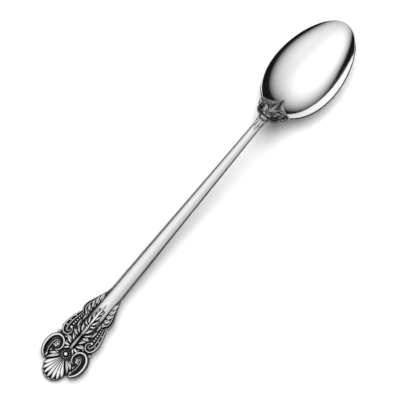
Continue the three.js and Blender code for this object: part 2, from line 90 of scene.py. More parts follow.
class Wire:
    """A node's output socket that takes part in Python arithmetic."""

    def __init__(self, graph: "Graph", socket: bpy.types.NodeSocket) -> None:
        """Holds a socket of one graph."""
        self.graph = graph
        self.socket = socket

    def out(self, name: str) -> "Wire":
        """Returns another output of the same node."""
        return Wire(self.graph, self.socket.node.outputs[name])

    def math(self, operation: str, *others: "Wire | Number") -> "Wire":
        """Returns a Math node's result with this wire as its first value."""
        values = dict(enumerate((self, *others)))
        return self.graph.node("ShaderNodeMath", {"operation": operation}, values)

    def __add__(self, other: "Wire | Number") -> "Wire":
        """Returns the sum."""
        return self.math("ADD", other)

    __radd__ = __add__

    def __sub__(self, other: "Wire | Number") -> "Wire":
        """Returns the difference."""
        return self.math("SUBTRACT", other)

    def __rsub__(self, other: Number) -> "Wire":
        """Returns a number less this wire."""
        return (self * -1) + other

    def __mul__(self, other: "Wire | Number") -> "Wire":
        """Returns the product."""
        return self.math("MULTIPLY", other)

    __rmul__ = __mul__

    def __truediv__(self, other: "Wire | Number") -> "Wire":
        """Returns the quotient."""
        return self.math("DIVIDE", other)

    def __rtruediv__(self, other: Number) -> "Wire":
        """Returns a number divided by this wire."""
        return self.graph.node("ShaderNodeMath", {"operation": "DIVIDE"}, {0: other, 1: self})

    def __pow__(self, other: Number) -> "Wire":
        """Returns this wire raised to a power."""
        return self.math("POWER", other)

    def __abs__(self) -> "Wire":
        """Returns the size without its sign."""
        return self.math("ABSOLUTE")

    def __gt__(self, other: "Wire | Number") -> "Wire":
        """Returns 1 where this wire is greater, otherwise 0."""
        return self.math("GREATER_THAN", other)

    def mix(self, low: "Wire | Number", high: "Wire | Number") -> "Wire":
        """Returns the value this share of the way from low to high."""
        return self * (high - low) + low

    def ease(self, low: Number, high: Number) -> "Wire":
        """Returns a smooth climb from 0 at low to 1 at high."""
        inputs = {"Value": self, "From Min": low, "From Max": high}
        return self.graph.node("ShaderNodeMapRange", {"interpolation_type": "SMOOTHSTEP"}, inputs)


class Graph:
    """Builds a node tree, of a shader or of geometry."""

    def __init__(self, tree: bpy.types.NodeTree) -> None:
        """Starts from an empty tree."""
        self.tree = tree
        tree.nodes.clear()

    def node(
        self,
        kind: str,
        settings: dict[str, object] | None = None,
        inputs: dict[str | int, object] | None = None,
        output: str | int = 0,
    ) -> Wire:
        """Adds a node.

        Args:
            kind: The node's type name.
            settings: Properties, which are set before the sockets.
            inputs: Values, wires or a list of wires, by socket name or number.
            output: The output that is returned.

        Returns:
            The wire of that output.
        """
        made = self.tree.nodes.new(kind)
        for name, value in (settings or {}).items():
            setattr(made, name, value)
        for name, value in (inputs or {}).items():
            for item in value if isinstance(value, list) else [value]:
                if isinstance(item, Wire):
                    self.tree.links.new(item.socket, made.inputs[name])
                else:
                    made.inputs[name].default_value = item
        return Wire(self, made.outputs[output]) if made.outputs else Wire(self, made.inputs[0])

    def vector(self, x: Wire | Number, y: Wire | Number, z: Wire | Number) -> Wire:
        """Returns a vector of three values."""
        return self.node("ShaderNodeCombineXYZ", None, {"X": x, "Y": y, "Z": z})


class Recipe:
    """A geometry node tree with named sizes, which makes a piece's mesh."""

    def __init__(self, name: str, sizes: dict[str, Number]) -> None:
        """Makes an empty tree.

        Args:
            name: The tree's name.
            sizes: The named inputs and their values.
        """
        tree = bpy.data.node_groups.new(name, "GeometryNodeTree")
        self.graph = Graph(tree)
        self.sizes = sizes
        face = tree.interface
        self.identifiers = {"Base": face.new_socket("Base", socket_type="NodeSocketGeometry").identifier}
        for label, value in sizes.items():
            kind = "NodeSocketInt" if isinstance(value, int) else "NodeSocketFloat"
            self.identifiers[label] = face.new_socket(label, socket_type=kind).identifier
        self.identifiers["Finish"] = face.new_socket("Finish", socket_type="NodeSocketMaterial").identifier
        face.new_socket("Piece", in_out="OUTPUT", socket_type="NodeSocketGeometry")
        self.entry = self.graph.node("NodeGroupInput")

    def size(self, label: str) -> Wire:
        """Returns the wire of a named input."""
        return self.entry.out(label)

    def named(self, name: str, kind: str = "FLOAT") -> Wire:
        """Returns the wire of an attribute that the base mesh carries."""
        return self.graph.node("GeometryNodeInputNamedAttribute", {"data_type": kind}, {"Name": name})

    def grid(self, rows: str, columns: str) -> tuple[Wire, Wire, Wire]:
        """Makes a square of vertices to be bent into shape.

        Args:
            rows: The named input with the number of vertices along.
            columns: The named input with the number of vertices across.

        Returns:
            The geometry, and how far along and across a vertex lies, from 0 to 1.
        """
        counts = {"Vertices X": self.size(rows), "Vertices Y": self.size(columns)}
        made = self.graph.node("GeometryNodeMeshGrid", None, {"Size X": 1.0, "Size Y": 1.0} | counts)
        place = self.graph.node("GeometryNodeInputPosition")
        spot = self.graph.node("ShaderNodeSeparateXYZ", None, {0: place})
        return made, spot.out("X") + 0.5, spot.out("Y") + 0.5

    def bend(self, geometry: Wire, x: Wire, y: Wire, z: Wire) -> Wire:
        """Moves the vertices of a grid, and joins those that then meet.

        Args:
            geometry: The grid.
            x: The new place of a vertex along the spoon.
            y: Its new place across.
            z: Its new height.

        Returns:
            The bent geometry.
        """
        place = self.graph.vector(x, y, z)
        moved = self.graph.node("GeometryNodeSetPosition", None, {"Geometry": geometry, "Position": place})
        inputs = {"Geometry": moved, "Distance": MERGE_DISTANCE}
        return self.graph.node("GeometryNodeMergeByDistance", None, inputs)

    def close(self, geometry: Wire) -> None:
        """Ends the tree: instances are made real, smooth and given their finish.

        Args:
            geometry: What the tree has made.
        """
        graph = self.graph
        real = graph.node("GeometryNodeRealizeInstances", None, {"Geometry": geometry})
        smooth = graph.node("GeometryNodeSetShadeSmooth", None, {"Geometry": real})
        inputs = {"Geometry": smooth, "Material": self.size("Finish")}
        dressed = graph.node("GeometryNodeSetMaterial", None, inputs)
        graph.node("NodeGroupOutput", None, {0: dressed})

    def make(
        self, base: bpy.types.Mesh, material: bpy.types.Material, **changed: Number
    ) -> bpy.types.Mesh:
        """Runs the tree on a base mesh.

        Args:
            base: The points or path that the tree works on.
            material: The finish.
            changed: Named inputs that differ, with _ for a space.

        Returns:
            A plain mesh.
        """
        sizes = self.sizes | {label.replace("_", " "): value for label, value in changed.items()}
        holder = bpy.data.objects.new("holder", base)
        bpy.context.scene.collection.objects.link(holder)
        modifier = holder.modifiers.new("recipe", "NODES")
        modifier.node_group = self.graph.tree
        for label, value in sizes.items():
            modifier[self.identifiers[label]] = value
        modifier[self.identifiers["Finish"]] = material
        depsgraph = bpy.context.evaluated_depsgraph_get()
        made = bpy.data.meshes.new_from_object(holder.evaluated_get(depsgraph), depsgraph=depsgraph)
        bpy.data.objects.remove(holder)
        return made


def mix(low: Grid | Number, high: Grid | Number, share: Grid | Number) -> Grid:
    """Returns the value this share of the way from low to high."""
    return low + (high - low) * share


def ease(t: Grid | Number) -> Grid:
    """Returns a smooth climb from 0 to 1."""
    held = np.clip(t, 0, 1)
    return held * held * (3 - 2 * held)


def spline(knots: Sequence[Sequence[float]], count: int) -> Grid:
    """Spreads points along a smooth curve.

    Args:
        knots: The points that it passes through.
        count: How many points to return.

    Returns:
        One row for each point.
    """
    p = np.array(knots, float)
    p = np.vstack([2 * p[0] - p[1], p, 2 * p[-1] - p[-2]])
    spot = np.linspace(0, len(p) - 3, count)
    first = np.minimum(spot.astype(int), len(p) - 4)
    t = (spot - first)[:, None]
    a, b, c, d = (p[first + k] for k in range(4))
    square, cube = 2 * a - 5 * b + 4 * c - d, 3 * b - a - 3 * c + d
    return b + t * (c - a) / 2 + t**2 * square / 2 + t**3 * cube / 2


def level_path(knots: Sequence[Sequence[float]], height: float, count: int) -> Grid:
    """Returns points along a smooth curve through plan points, all at one height."""
    return np.column_stack([spline(knots, count), np.full(count, height)])


def circle(
    middle: Sequence[float], first: Sequence[float], second: Sequence[float], count: int = 41
) -> Grid:
    """Spreads points round a circle or an ellipse.

    Args:
        middle: Its middle.
        first: From there to where it starts, and ends.
        second: From there to the point a quarter of the way round.
        count: How many points to return.

    Returns:
        One row for each point.
    """
    turn = np.linspace(0, math.tau, count)[:, None]
    return np.array(middle) + np.cos(turn) * np.array(first) + np.sin(turn) * np.array(second)


def labelled(owner: object, *names: str) -> dict[str, Number]:
    """Returns an owner's sizes as a recipe's named inputs, so that heel_height gives Heel Height."""
    return {name.replace("_", " ").title(): getattr(owner, name) for name in names}


def cloud(points: Grid, linked: bool = False, **values: Grid) -> bpy.types.Mesh:
    """Makes the points or the path that a recipe works on.

    Args:
        points: One row for each point.
        linked: Whether each point is joined to the next.
        values: Attributes of the points, by name.

    Returns:
        A mesh without faces.
    """
    mesh = bpy.data.meshes.new("base")
    edges = [(i, i + 1) for i in range(len(points) - 1)] if linked else []
    mesh.from_pydata(np.asarray(points, float).tolist(), edges, [])
    for name, value in values.items():
        rows = np.asarray(value, float)
        kind, key = ("FLOAT", "value") if rows.ndim == 1 else ("FLOAT_VECTOR", "vector")
        mesh.attributes.new(name, kind, "POINT").data.foreach_set(key, rows.ravel())
    return mesh


def solid(top: Grid, bottom: Grid) -> bpy.types.Mesh:
    """Closes two sheets of points with the same plan into a solid.

    Args:
        top: Rows and columns of points.
        bottom: As many rows and columns of points.

    Returns:
        A closed mesh.
    """
    rows, columns = top.shape[:2]
    upper = np.arange(rows * columns).reshape(rows, columns)
    faces = []
    for index in (upper, upper + rows * columns):
        corners = (index[:-1, :-1], index[1:, :-1], index[1:, 1:], index[:-1, 1:])
        faces += np.stack(corners, -1).reshape(-1, 4).tolist()
    edge = [*upper[0], *upper[1:, -1], *upper[-1, -2::-1], *upper[-2:0:-1, 0]]
    under = [corner + rows * columns for corner in edge]
    for k in range(len(edge)):
        faces.append([edge[k - 1], edge[k], under[k], under[k - 1]])
    mesh = bpy.data.meshes.new("solid")
    points = np.concatenate([top.reshape(-1, 3), bottom.reshape(-1, 3)])
    mesh.from_pydata(points.tolist(), [], [[int(corner) for corner in face] for face in faces])
    return mesh


@dataclass
class Mound:
    """A relief that lies on a surface: an outline along X, filled from its middle line.

    Attributes:
        outline: Place along X, and half the width there.
        seat: The surface's height.
        crown: Height above the surface on the middle line.
        rim: Height above the surface at the edge.
        sink: How far it reaches below the surface.
        rows: How many points it has along X.
        columns: How many points it has across.
    """

    outline: Sequence[Sequence[float]]
    seat: Surface
    crown: float
    rim: float
    sink: float = 0.25
    rows: int = 121
    columns: int = 65

    def mesh(self) -> bpy.types.Mesh:
        """Makes the relief.

        Returns:
            A closed mesh, in millimetres.
        """
        line = spline(self.outline, self.rows)
        v = np.linspace(-1, 1, self.columns)[None, :]
        x, y = np.repeat(line[:, :1], self.columns, 1), line[:, 1:] * v
        base = self.seat(x, y)
        ends = np.sin(np.linspace(0, math.pi, self.rows))[:, None] ** 0.5
        height = mix(self.rim, self.crown, (1 - v**2) * ends)
        return solid(np.stack([x, y, base + height], -1), np.stack([x, y, base - self.sink], -1))


@dataclass
class Lobe:
    """One lobe of a leaf, which lies on a surface from its root to its tip.

    Attributes:
        root: Where it starts, in plan.
        tip: Where it ends, in plan.
        width: Its greatest width.
        height: Its thickness.
        rise: How much higher the tip stands than the root.
        bend: 1 if it curls to the left of its direction, -1 if to the right.
    """

    root: tuple[float, float]
    tip: tuple[float, float]
    width: float
    height: float
    rise: float = 0.0
    bend: int = 1

    def mirrored(self) -> "Lobe":
        """Returns the lobe of the other side."""
        (a, b), (c, d) = self.root, self.tip
        return Lobe((a, -b), (c, -d), self.width, self.height, self.rise, -self.bend)


def both(lobes: Sequence[Lobe]) -> list[Lobe]:
    """Returns the lobes with those of the other side."""
    return [*lobes, *(lobe.mirrored() for lobe in lobes)]


@dataclass(frozen=True)
class Silver:
    """Polished silver, darkened by an attribute that holds patina where polish doesn't reach and painted
    shade on steep sides.

    Attributes:
        name: The material's name.
        shine: Colour of the bright metal.
        roughness: Roughness of the bright metal.
        oxide_and_shade: Colour of the darkened metal, of both the patina and the painted shade on steep
            sides.
        reach: The attribute's value at which the dark begins and ends.
        depth: How deep the fine polishing marks are, in metres.
        stipple: How deep the punched dots are, as a multiple of the marks.
        scratch: How far the marks change the roughness.
        marks: How many marks there are to a metre, along X, Y and Z.
        dots: How many punched dots there are to a metre.
        smudges: How many soft smudges there are to a metre.
        smudge_dark: How far smudges move the edge of the dark.
        smudge_tone: How far smudges change the bright metal's colour and roughness.
        blue: The colour's blue, as a share of its red and green.
        dull: Roughness of the darkened metal.
    """

    name: str
    shine: float
    roughness: float
    oxide_and_shade: float = 0.03
    reach: tuple[float, float] = (0.3, 0.62)
    depth: float = 4e-6
    stipple: float = 0.0
    scratch: float = 0.03
    marks: tuple[float, float, float] = (250, 2600, 2600)
    dots: float = 2400.0
    smudges: float = 160.0
    smudge_dark: float = 0.25
    smudge_tone: float = 0.04
    blue: float = 0.995
    dull: float = 0.45

    def material(self) -> bpy.types.Material:
        """Makes the finish.

        Returns:
            A node material.
        """
        made = bpy.data.materials.new(self.name)
        made.use_nodes = True
        graph = Graph(made.node_tree)
        place = graph.node("ShaderNodeTexCoord", output="Object")
        recess = graph.node("ShaderNodeAttribute", {"attribute_name": "recess"}, output="Fac")
        stretched = graph.node("ShaderNodeMapping", None, {"Vector": place, "Scale": self.marks})
        marks = graph.node("ShaderNodeTexNoise", None, {"Vector": stretched, "Scale": 1.0, "Detail": 3.0})
        inputs = {"Vector": place, "Scale": self.smudges, "Detail": 2.0}
        smudge = graph.node("ShaderNodeTexNoise", None, inputs) - 0.5
        dots = graph.node("ShaderNodeTexVoronoi", None, {"Vector": place, "Scale": self.dots}, "Distance")
        # The dark is patina in hollows and painted shade on steep sides, as the attribute holds.
        dark = (recess + smudge * self.smudge_dark).ease(*self.reach)
        tone = dark.mix(smudge * self.smudge_tone + self.shine, self.oxide_and_shade)
        inputs = {"Red": tone, "Green": tone, "Blue": tone * self.blue}
        colour = graph.node("ShaderNodeCombineColor", None, inputs)
        worn = (marks - 0.5) * self.scratch + smudge * self.smudge_tone + self.roughness
        height = marks + dots * self.stipple
        normal = graph.node("ShaderNodeBump", None, {"Distance": self.depth, "Height": height})
        inputs = {"Base Color": colour, "Roughness": dark.mix(worn, self.dull), "Normal": normal}
        shader = graph.node("ShaderNodeBsdfPrincipled", None, inputs | {"Metallic": 1.0})
        graph.node("ShaderNodeOutputMaterial", None, {"Surface": shader})
        return made


class Workshop:
    """The finishes, and the geometry rules that several pieces share."""

    def __init__(self) -> None:
        """Makes the finishes and the rules."""
        finishes = (
            Silver("mirror silver", shine=0.8, roughness=0.06, depth=2e-7),
            # The satin stem's dark colour is mostly painted shade on its steep sides.
            Silver("satin silver", shine=0.55, roughness=0.18, oxide_and_shade=0.12, reach=(0.12, 0.5)),
            Silver("antiqued silver", shine=0.62, roughness=0.1, reach=(0.03, 0.33), stipple=1.0),
            Silver("darkened silver", shine=0.37, roughness=0.12, reach=(0.05, 0.4), stipple=1.0),
            Silver("oxidised ground", shine=0.72, roughness=0.2, reach=(0.12, 0.3), stipple=12.0),
        )
        materials = [finish.material() for finish in finishes]
        self.mirror, self.satin, self.antiqued, self.darkened, self.ground = materials
        self.band_rule = self.make_band_rule()
        self.lobe_rule = self.make_lobe_rule()
        self.bead_rule = self.make_bead_rule()

    def make_band_rule(self) -> Recipe:
        """Makes the rule for a scroll: a moulded band along a path, with a ball at its end.

        Returns:
            The rule, whose sizes are shares of the band's half width.
        """
        sizes = {
            "Outer": 1.0,
            "Roll Middle": 0.52,
            "Roll Reach": 0.48,
            "Roll Height": 1.3,
            "Thread Middle": -0.6,
            "Thread Reach": 0.34,
            "Thread Height": 0.9,
            "Groove Height": 0.35,
            "Hollow": 0.6,
            "Profile": 41,
        }
        recipe = Recipe("band rule", sizes)
        graph, size = recipe.graph, recipe.size
        line = graph.node("GeometryNodeMeshLine", None, {"Count": size("Profile")})
        v = graph.node("GeometryNodeInputIndex") / (size("Profile") - 1) * 2 - 1

        def hump(middle: Wire | Number, reach: Wire | Number) -> Wire:
            """Returns a half circle's height over the band's width."""
            away = (v - middle) / reach
            return (1 - away * away).math("MAXIMUM", 0.0).math("SQRT")

        roll = hump(size("Roll Middle"), size("Roll Reach")) * size("Roll Height")
        thread = hump(size("Thread Middle"), size("Thread Reach")) * size("Thread Height")
        slope = ((v + 1) / 2) ** 2 * size("Hollow") + size("Groove Height")
        groove = hump(0.0, 1.0) ** 0.5 * slope
        height = roll.math("MAXIMUM", thread).math("MAXIMUM", groove)
        place = graph.vector(v * size("Outer"), height * -1, 0.0)
        profile = graph.node("GeometryNodeSetPosition", None, {"Geometry": line, "Position": place})
        profile = graph.node("GeometryNodeMeshToCurve", None, {"Mesh": profile})
        profile = graph.node("GeometryNodeSetSplineCyclic", None, {"Geometry": profile, "Cyclic": True})
        rail = graph.node("GeometryNodeMeshToCurve", None, {"Mesh": size("Base")})
        rail = graph.node("GeometryNodeSetCurveNormal", {"mode": "Z_UP"}, {"Curve": rail})
        inputs = {"Curve": rail, "Profile Curve": profile, "Scale": recipe.named("half_width")}
        band = graph.node("GeometryNodeCurveToMesh", None, inputs | {"Fill Caps": True})
        ball = graph.node("GeometryNodeMeshUVSphere", None, {"Segments": 20, "Rings": 12, "Radius": 1.0})
        eye = recipe.named("eye")
        inputs = {"Points": size("Base"), "Selection": eye > 0.0, "Instance": ball, "Scale": eye}
        balls = graph.node("GeometryNodeInstanceOnPoints", None, inputs)
        recipe.close(graph.node("GeometryNodeJoinGeometry", None, {0: [band, balls]}))
        return recipe

    def make_lobe_rule(self) -> Recipe:
        """Makes the rule for leaves: creased lobes set on points, each with its aim and size.

        Returns:
            The rule, whose lobe is one unit long, wide and thick.
        """
        sizes = {
            "Lean": 0.75,
            "Crease": 0.4,
            "Crease Sharpness": 9.0,
            "Bulge": 0.5,
            "Taper": 0.8,
            "Bend": 0.4,
            "Bend Back": 0.6,
            "Along": 17,
            "Around": 19,
        }
        recipe = Recipe("lobe rule", sizes)
        graph, size = recipe.graph, recipe.size
        grid, u, turn = recipe.grid("Along", "Around")
        turn = turn * math.tau
        across, up = turn.math("COSINE"), turn.math("SINE")
        u = 0.5 - (u * math.pi).math("COSINE") * 0.5
        swell = (u.math("POWER", size("Lean")) * math.pi).math("SINE").math("MAXIMUM", 0.0)
        fall = across * across * size("Crease Sharpness") * -1
        crease = 1 - size("Crease") * fall.math("EXPONENT")
        z = swell.math("POWER", size("Bulge")) * up * 0.5 * crease
        bend = size("Bend") * (u * u - u * size("Bend Back"))
        y = swell.math("POWER", size("Taper")) * across * 0.5 + bend
        lobe = recipe.bend(grid, u, y, z)
        aim = recipe.named("aim", "FLOAT_VECTOR")
        turned = graph.node("FunctionNodeEulerToRotation", None, {"Euler": aim})
        inputs = {"Points": size("Base"), "Instance": lobe, "Rotation": turned}
        inputs["Scale"] = recipe.named("size", "FLOAT_VECTOR")
        recipe.close(graph.node("GeometryNodeInstanceOnPoints", None, inputs))
        return recipe

    def make_bead_rule(self) -> Recipe:
        """Makes the rule for a row of beads.

        Returns:
            The rule, whose beads change in radius from the first to the last.
        """
        recipe = Recipe("bead rule", {"Beads": 7, "First": 0.46, "Last": 0.3})
        graph, size = recipe.graph, recipe.size
        rail = graph.node("GeometryNodeMeshToCurve", None, {"Mesh": size("Base")})
        rail = graph.node("GeometryNodeResampleCurve", None, {"Curve": rail, "Count": size("Beads")})
        bead = graph.node("GeometryNodeMeshUVSphere", None, {"Segments": 14, "Rings": 9, "Radius": 1.0})
        radius = graph.node("GeometryNodeSplineParameter").mix(size("First"), size("Last"))
        inputs = {"Points": rail, "Instance": bead, "Scale": radius}
        recipe.close(graph.node("GeometryNodeInstanceOnPoints", None, inputs))
        return recipe

    def band(
        self, route: Grid, half_width: Grid, outer: Number, eye: float = 0.0, **changed: Number
    ) -> bpy.types.Mesh:
        """Makes a scroll.

        Args:
            route: Points along its middle.
            half_width: Half its width at each point.
            outer: 1 if its rolled edge is on the right of the path, -1 if on the left.
            eye: Radius of the ball at its end, if it has one.
            changed: Named inputs of the rule that differ.

        Returns:
            The mesh, in millimetres.
        """
        eyes = np.zeros(len(route))
        eyes[-1] = eye
        base = cloud(route, True, half_width=half_width, eye=eyes)
        return self.band_rule.make(base, self.antiqued, Outer=float(outer), **changed)

    def lobes(
        self, lobes: Sequence[Lobe], seat: Surface, lift: float = 0.1, lean: float = 0.0, **changed: Number
    ) -> bpy.types.Mesh:
        """Makes the lobes of a leaf.

        Args:
            lobes: Their places.
            seat: The height of the surface that they lie on.
            lift: How far their middle lies above it, for each millimetre of height.
            lean: How far each is rolled about its length, in radians, like overlapping tiles.
            changed: Named inputs of the rule that differ.

        Returns:
            The mesh, in millimetres.
        """
        roots = np.array([lobe.root for lobe in lobes], float)
        tips = np.array([lobe.tip for lobe in lobes], float)
        width, height, rise, bend = (
            np.array([getattr(lobe, name) for lobe in lobes]) for name in ("width", "height", "rise", "bend")
        )
        low = seat(roots[:, 0], roots[:, 1]) + height * lift
        high = seat(tips[:, 0], tips[:, 1]) + height * lift + rise
        flat = np.hypot(*(tips - roots).T)
        turn = np.arctan2(tips[:, 1] - roots[:, 1], tips[:, 0] - roots[:, 0])
        aim = np.stack([lean * bend, np.arctan2(low - high, flat), turn], -1)
        size = np.stack([np.hypot(flat, high - low), width * bend, height], -1)
        base = cloud(np.column_stack([roots, low]), aim=aim, size=size)
        return self.lobe_rule.make(base, self.antiqued, **changed)

    def beads(self, route: Grid, count: int, first: float, last: float) -> bpy.types.Mesh:
        """Returns a row of beads along a route, from the first radius to the last."""
        return self.bead_rule.make(cloud(route, True), self.antiqued, Beads=count, First=first, Last=last)


@dataclass
class Piece:
    """A finished piece of the spoon.

    Attributes:
        node: The CAD node that it stands for.
        parts: Its meshes, in millimetres.
        place: The frame that they are drawn in.
        finish: Its material.
        slot: Its slot in the record; not used.
        shaded: Whether it is darkened: patina in its recesses, and painted shade on its steep sides.
        shade_end: Where along X, in metres, its neighbours stop shading it.
        side_shade: How much painted shade darkens its steep sides, standing for the dark that they reflect.
        matted: Whether its upper side is left dark as a ground.
        weld: How close points are when they are joined, in millimetres.
        sliver: How short an edge is when it is taken out, in millimetres.
    """

    node: str
    parts: list[bpy.types.Mesh]
    place: Matrix
    finish: bpy.types.Material
    slot: Slot = Slot.ANTIQUED
    shaded: bool = True
    shade_end: float = 1.0
    side_shade: float = 0.6
    matted: bool = False
    weld: float = 2e-4
    sliver: float = 1e-5

    def settle(self) -> bpy.types.Object:
        """Joins the parts into one object at the origin, and ties it to the frame.

        Returns:
            The object.
        """
        shell = bmesh.new()
        for part in self.parts:
            shell.from_mesh(part)
        bmesh.ops.remove_doubles(shell, verts=shell.verts, dist=self.weld)
        bmesh.ops.dissolve_degenerate(shell, edges=shell.edges, dist=self.sliver)
        bmesh.ops.transform(shell, matrix=self.place, verts=shell.verts)
        bmesh.ops.recalc_face_normals(shell, faces=shell.faces)
        for face in shell.faces:
            face.smooth = True
            face.material_index = 0
        mesh = bpy.data.meshes.new(f"spoon_{self.node}")
        shell.to_mesh(mesh)
        shell.free()
        mesh.materials.append(self.finish)
        made = bpy.data.objects.new(mesh.name, mesh)
        bpy.context.scene.collection.objects.link(made)
        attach(made, "root")
        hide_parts(self.node)
        LOG.info("%s: %d faces", made.name, len(mesh.polygons))
        return made


@dataclass
class Bowl:
    """The egg-shaped bowl, in millimetres.

    Attributes:
        workshop: The finishes and rules.
        heel: Where the rim starts, along X.
        length: The rim's length.
        width: The rim's width.
        egg: How far the widest place leans to the heel.
        heel_height: Height of the rim at the heel.
        middle_height: Height of the rim half way along.
        tip_height: Height of the rim at the tip.
        wall: Thickness at the bottom.
        lip: Thickness near the rim.
        flat: How much is worn off the lowest place.
        bevel: Width of the lip's slanting edge, in plan.
        cross_share: Share of a plain parabola in the section across.
        heel_share: Share of a plain parabola in the section along, at the heel.
        tip_share: The same at the tip.
        rings: How many rings of points there are, inside and outside together.
        turns: How many points there are to a ring.
        drop_start: Where the tongue under the heel starts.
        drop_reach: How far it runs.
        drop_width: Its width.
        drop_edge: How far its edge stands out from the bowl.
        drop_swell: How much further its middle stands out at the start.
        drop_sink: How far it reaches into the bowl's wall.
    """

    workshop: Workshop
    heel: float = 107.5
    length: float = 38.5
    width: float = 23.4
    egg: float = 0.108
    heel_height: float = 7.55
    middle_height: float = 6.35
    tip_height: float = 7.55
    wall: float = 0.95
    lip: float = 0.74
    flat: float = 0.15
    bevel: float = 0.38
    cross_share: float = 1.0
    heel_share: float = 0.85
    tip_share: float = 0.6
    rings: int = 161
    turns: int = 257
    drop_start: float = 109.5
    drop_reach: float = 7.6
    drop_width: float = 4.6
    drop_edge: float = 0.1
    drop_swell: float = 0.55
    drop_sink: float = 0.3

    @property
    def depth(self) -> float:
        """The depth from the rim to the middle of the wall."""
        return self.middle_height - self.wall / 2 + self.flat

    @property
    def plain_half(self) -> float:
        """Half the width that the egg outline would have without its lean."""
        cosine = (math.sqrt(1 + 8 * self.egg**2) - 1) / (4 * self.egg)
        return self.width / 2 / (math.sqrt(1 - cosine**2) * (1 + self.egg * cosine))

    def recipe(self) -> Recipe:
        """Makes the rule for the bowl: rings of its egg outline, inside, over the lip and under.

        Returns:
            The rule.
        """
        heights = ("heel_height", "middle_height", "tip_height", "depth", "wall", "lip", "bevel")
        shares = ("cross_share", "heel_share", "tip_share")
        sizes = labelled(self, "heel", "length", "plain_half", "egg", *heights, *shares, "rings", "turns")
        recipe = Recipe("bowl rule", sizes)
        size = recipe.size
        grid, u, turn = recipe.grid("Rings", "Turns")
        under = u > 0.5
        ring = 1 - (abs(u - 0.5) * 2) ** 2
        turn = turn * math.tau
        cosine, sine = turn.math("COSINE"), turn.math("SINE")
        edge_x = size("Heel") + size("Length") * (1 - cosine) / 2
        edge_y = size("Plain Half") * sine * (1 + size("Egg") * cosine)
        x = ring.mix(size("Heel") + size("Length") / 2, edge_x)
        y = ring * edge_y
        share = (x - size("Heel")) / size("Length")
        rim = (
            size("Heel Height") * (1 - share) * (1 - share * 2)
            + size("Middle Height") * 4 * share * (1 - share)
            + size("Tip Height") * share * (share * 2 - 1)
        )
        along = 1 - share * 2
        half = size("Plain Half") * (1 - along * along).math("MAXIMUM", 1e-6).math("SQRT")
        half = half * (1 + size("Egg") * along)
        along = along * along
        across = (abs(y) / half).math("MINIMUM", 1.0) ** 2
        hollow = 1 - size("Cross Share").mix(across * across, across)
        plain = share.ease(0.0, 1.0).mix(size("Heel Share"), size("Tip Share"))
        hollow = hollow * (1 - plain.mix(along * along, along))
        thick = (ring * ring).mix(size("Wall"), size("Lip")) / 2
        lean = (cosine / size("Length") * 2) ** 2 + (sine / size("Plain Half")) ** 2
        bevel = lean.math("SQRT") * size("Bevel")
        nose = ((ring - 1) / bevel + 1).math("MAXIMUM", 0.0)
        z = rim - size("Depth") * hollow + thick * under.mix(1 - nose * 2, -1.0)
        recipe.close(recipe.bend(grid, x, y, z.math("MAXIMUM", 0.0)))
        return recipe

    def rim(self, x: Grid | Number) -> Grid | Number:
        """Returns the rim's height at x."""
        t = (x - self.heel) / self.length
        ends = self.heel_height * (1 - t) * (1 - 2 * t) + self.tip_height * t * (2 * t - 1)
        return ends + self.middle_height * 4 * t * (1 - t)

    def half_width(self, x: Grid | Number) -> Grid | Number:
        """Returns half the rim's width at x."""
        along = np.clip(1 - 2 * (x - self.heel) / self.length, -1, 1)
        return self.plain_half * np.sqrt(1 - along**2) * (1 + self.egg * along)

    def sheet(self, x: Grid, y: Grid) -> Grid:
        """Finds the middle of the bowl's wall.

        Args:
            x: Places along the spoon.
            y: Places across it.

        Returns:
            The height at each place.
        """
        along = np.clip(1 - 2 * (x - self.heel) / self.length, -1, 1) ** 2
        across = np.minimum(1, np.abs(y) / np.maximum(self.half_width(x), 1e-3)) ** 2
        plain = mix(self.heel_share, self.tip_share, ease((x - self.heel) / self.length))
        hollow = 1 - mix(along**2, along, plain)
        hollow = hollow * (1 - mix(across**2, across, self.cross_share))
        return self.rim(x) - self.depth * hollow

    def drop(self) -> bpy.types.Mesh:
        """Makes the tongue under the heel, which thins out along the bowl's back.

        Returns:
            A closed mesh.
        """
        rows, columns = 33, 21
        u = np.linspace(0, 1, rows)[:, None]
        v = np.linspace(-1, 1, columns)[None, :]
        x = np.repeat(self.drop_start + self.drop_reach * u, columns, 1)
        y = self.drop_width / 2 * np.sqrt(1 - u**3) * v
        skin = np.maximum(0.0, self.sheet(x, y) - self.wall / 2)
        proud = self.drop_edge + self.drop_swell * (1 - v**2) * (1 - u)
        under = np.maximum(0, skin - proud)
        return solid(np.stack([x, y, skin + self.drop_sink], -1), np.stack([x, y, under], -1))

    def build(self) -> list[Piece]:
        """Makes the bowl and the drop under it.

        Returns:
            The two pieces.
        """
        shell = self.recipe().make(bpy.data.meshes.new("start"), self.workshop.mirror)
        return [
            Piece("bowl", [shell], TABLE_PLACE, self.workshop.mirror, Slot.POLISHED, shaded=False),
            Piece("bowl_drop", [self.drop()], TABLE_PLACE, self.workshop.mirror, Slot.POLISHED, side_shade=0.0),
        ]


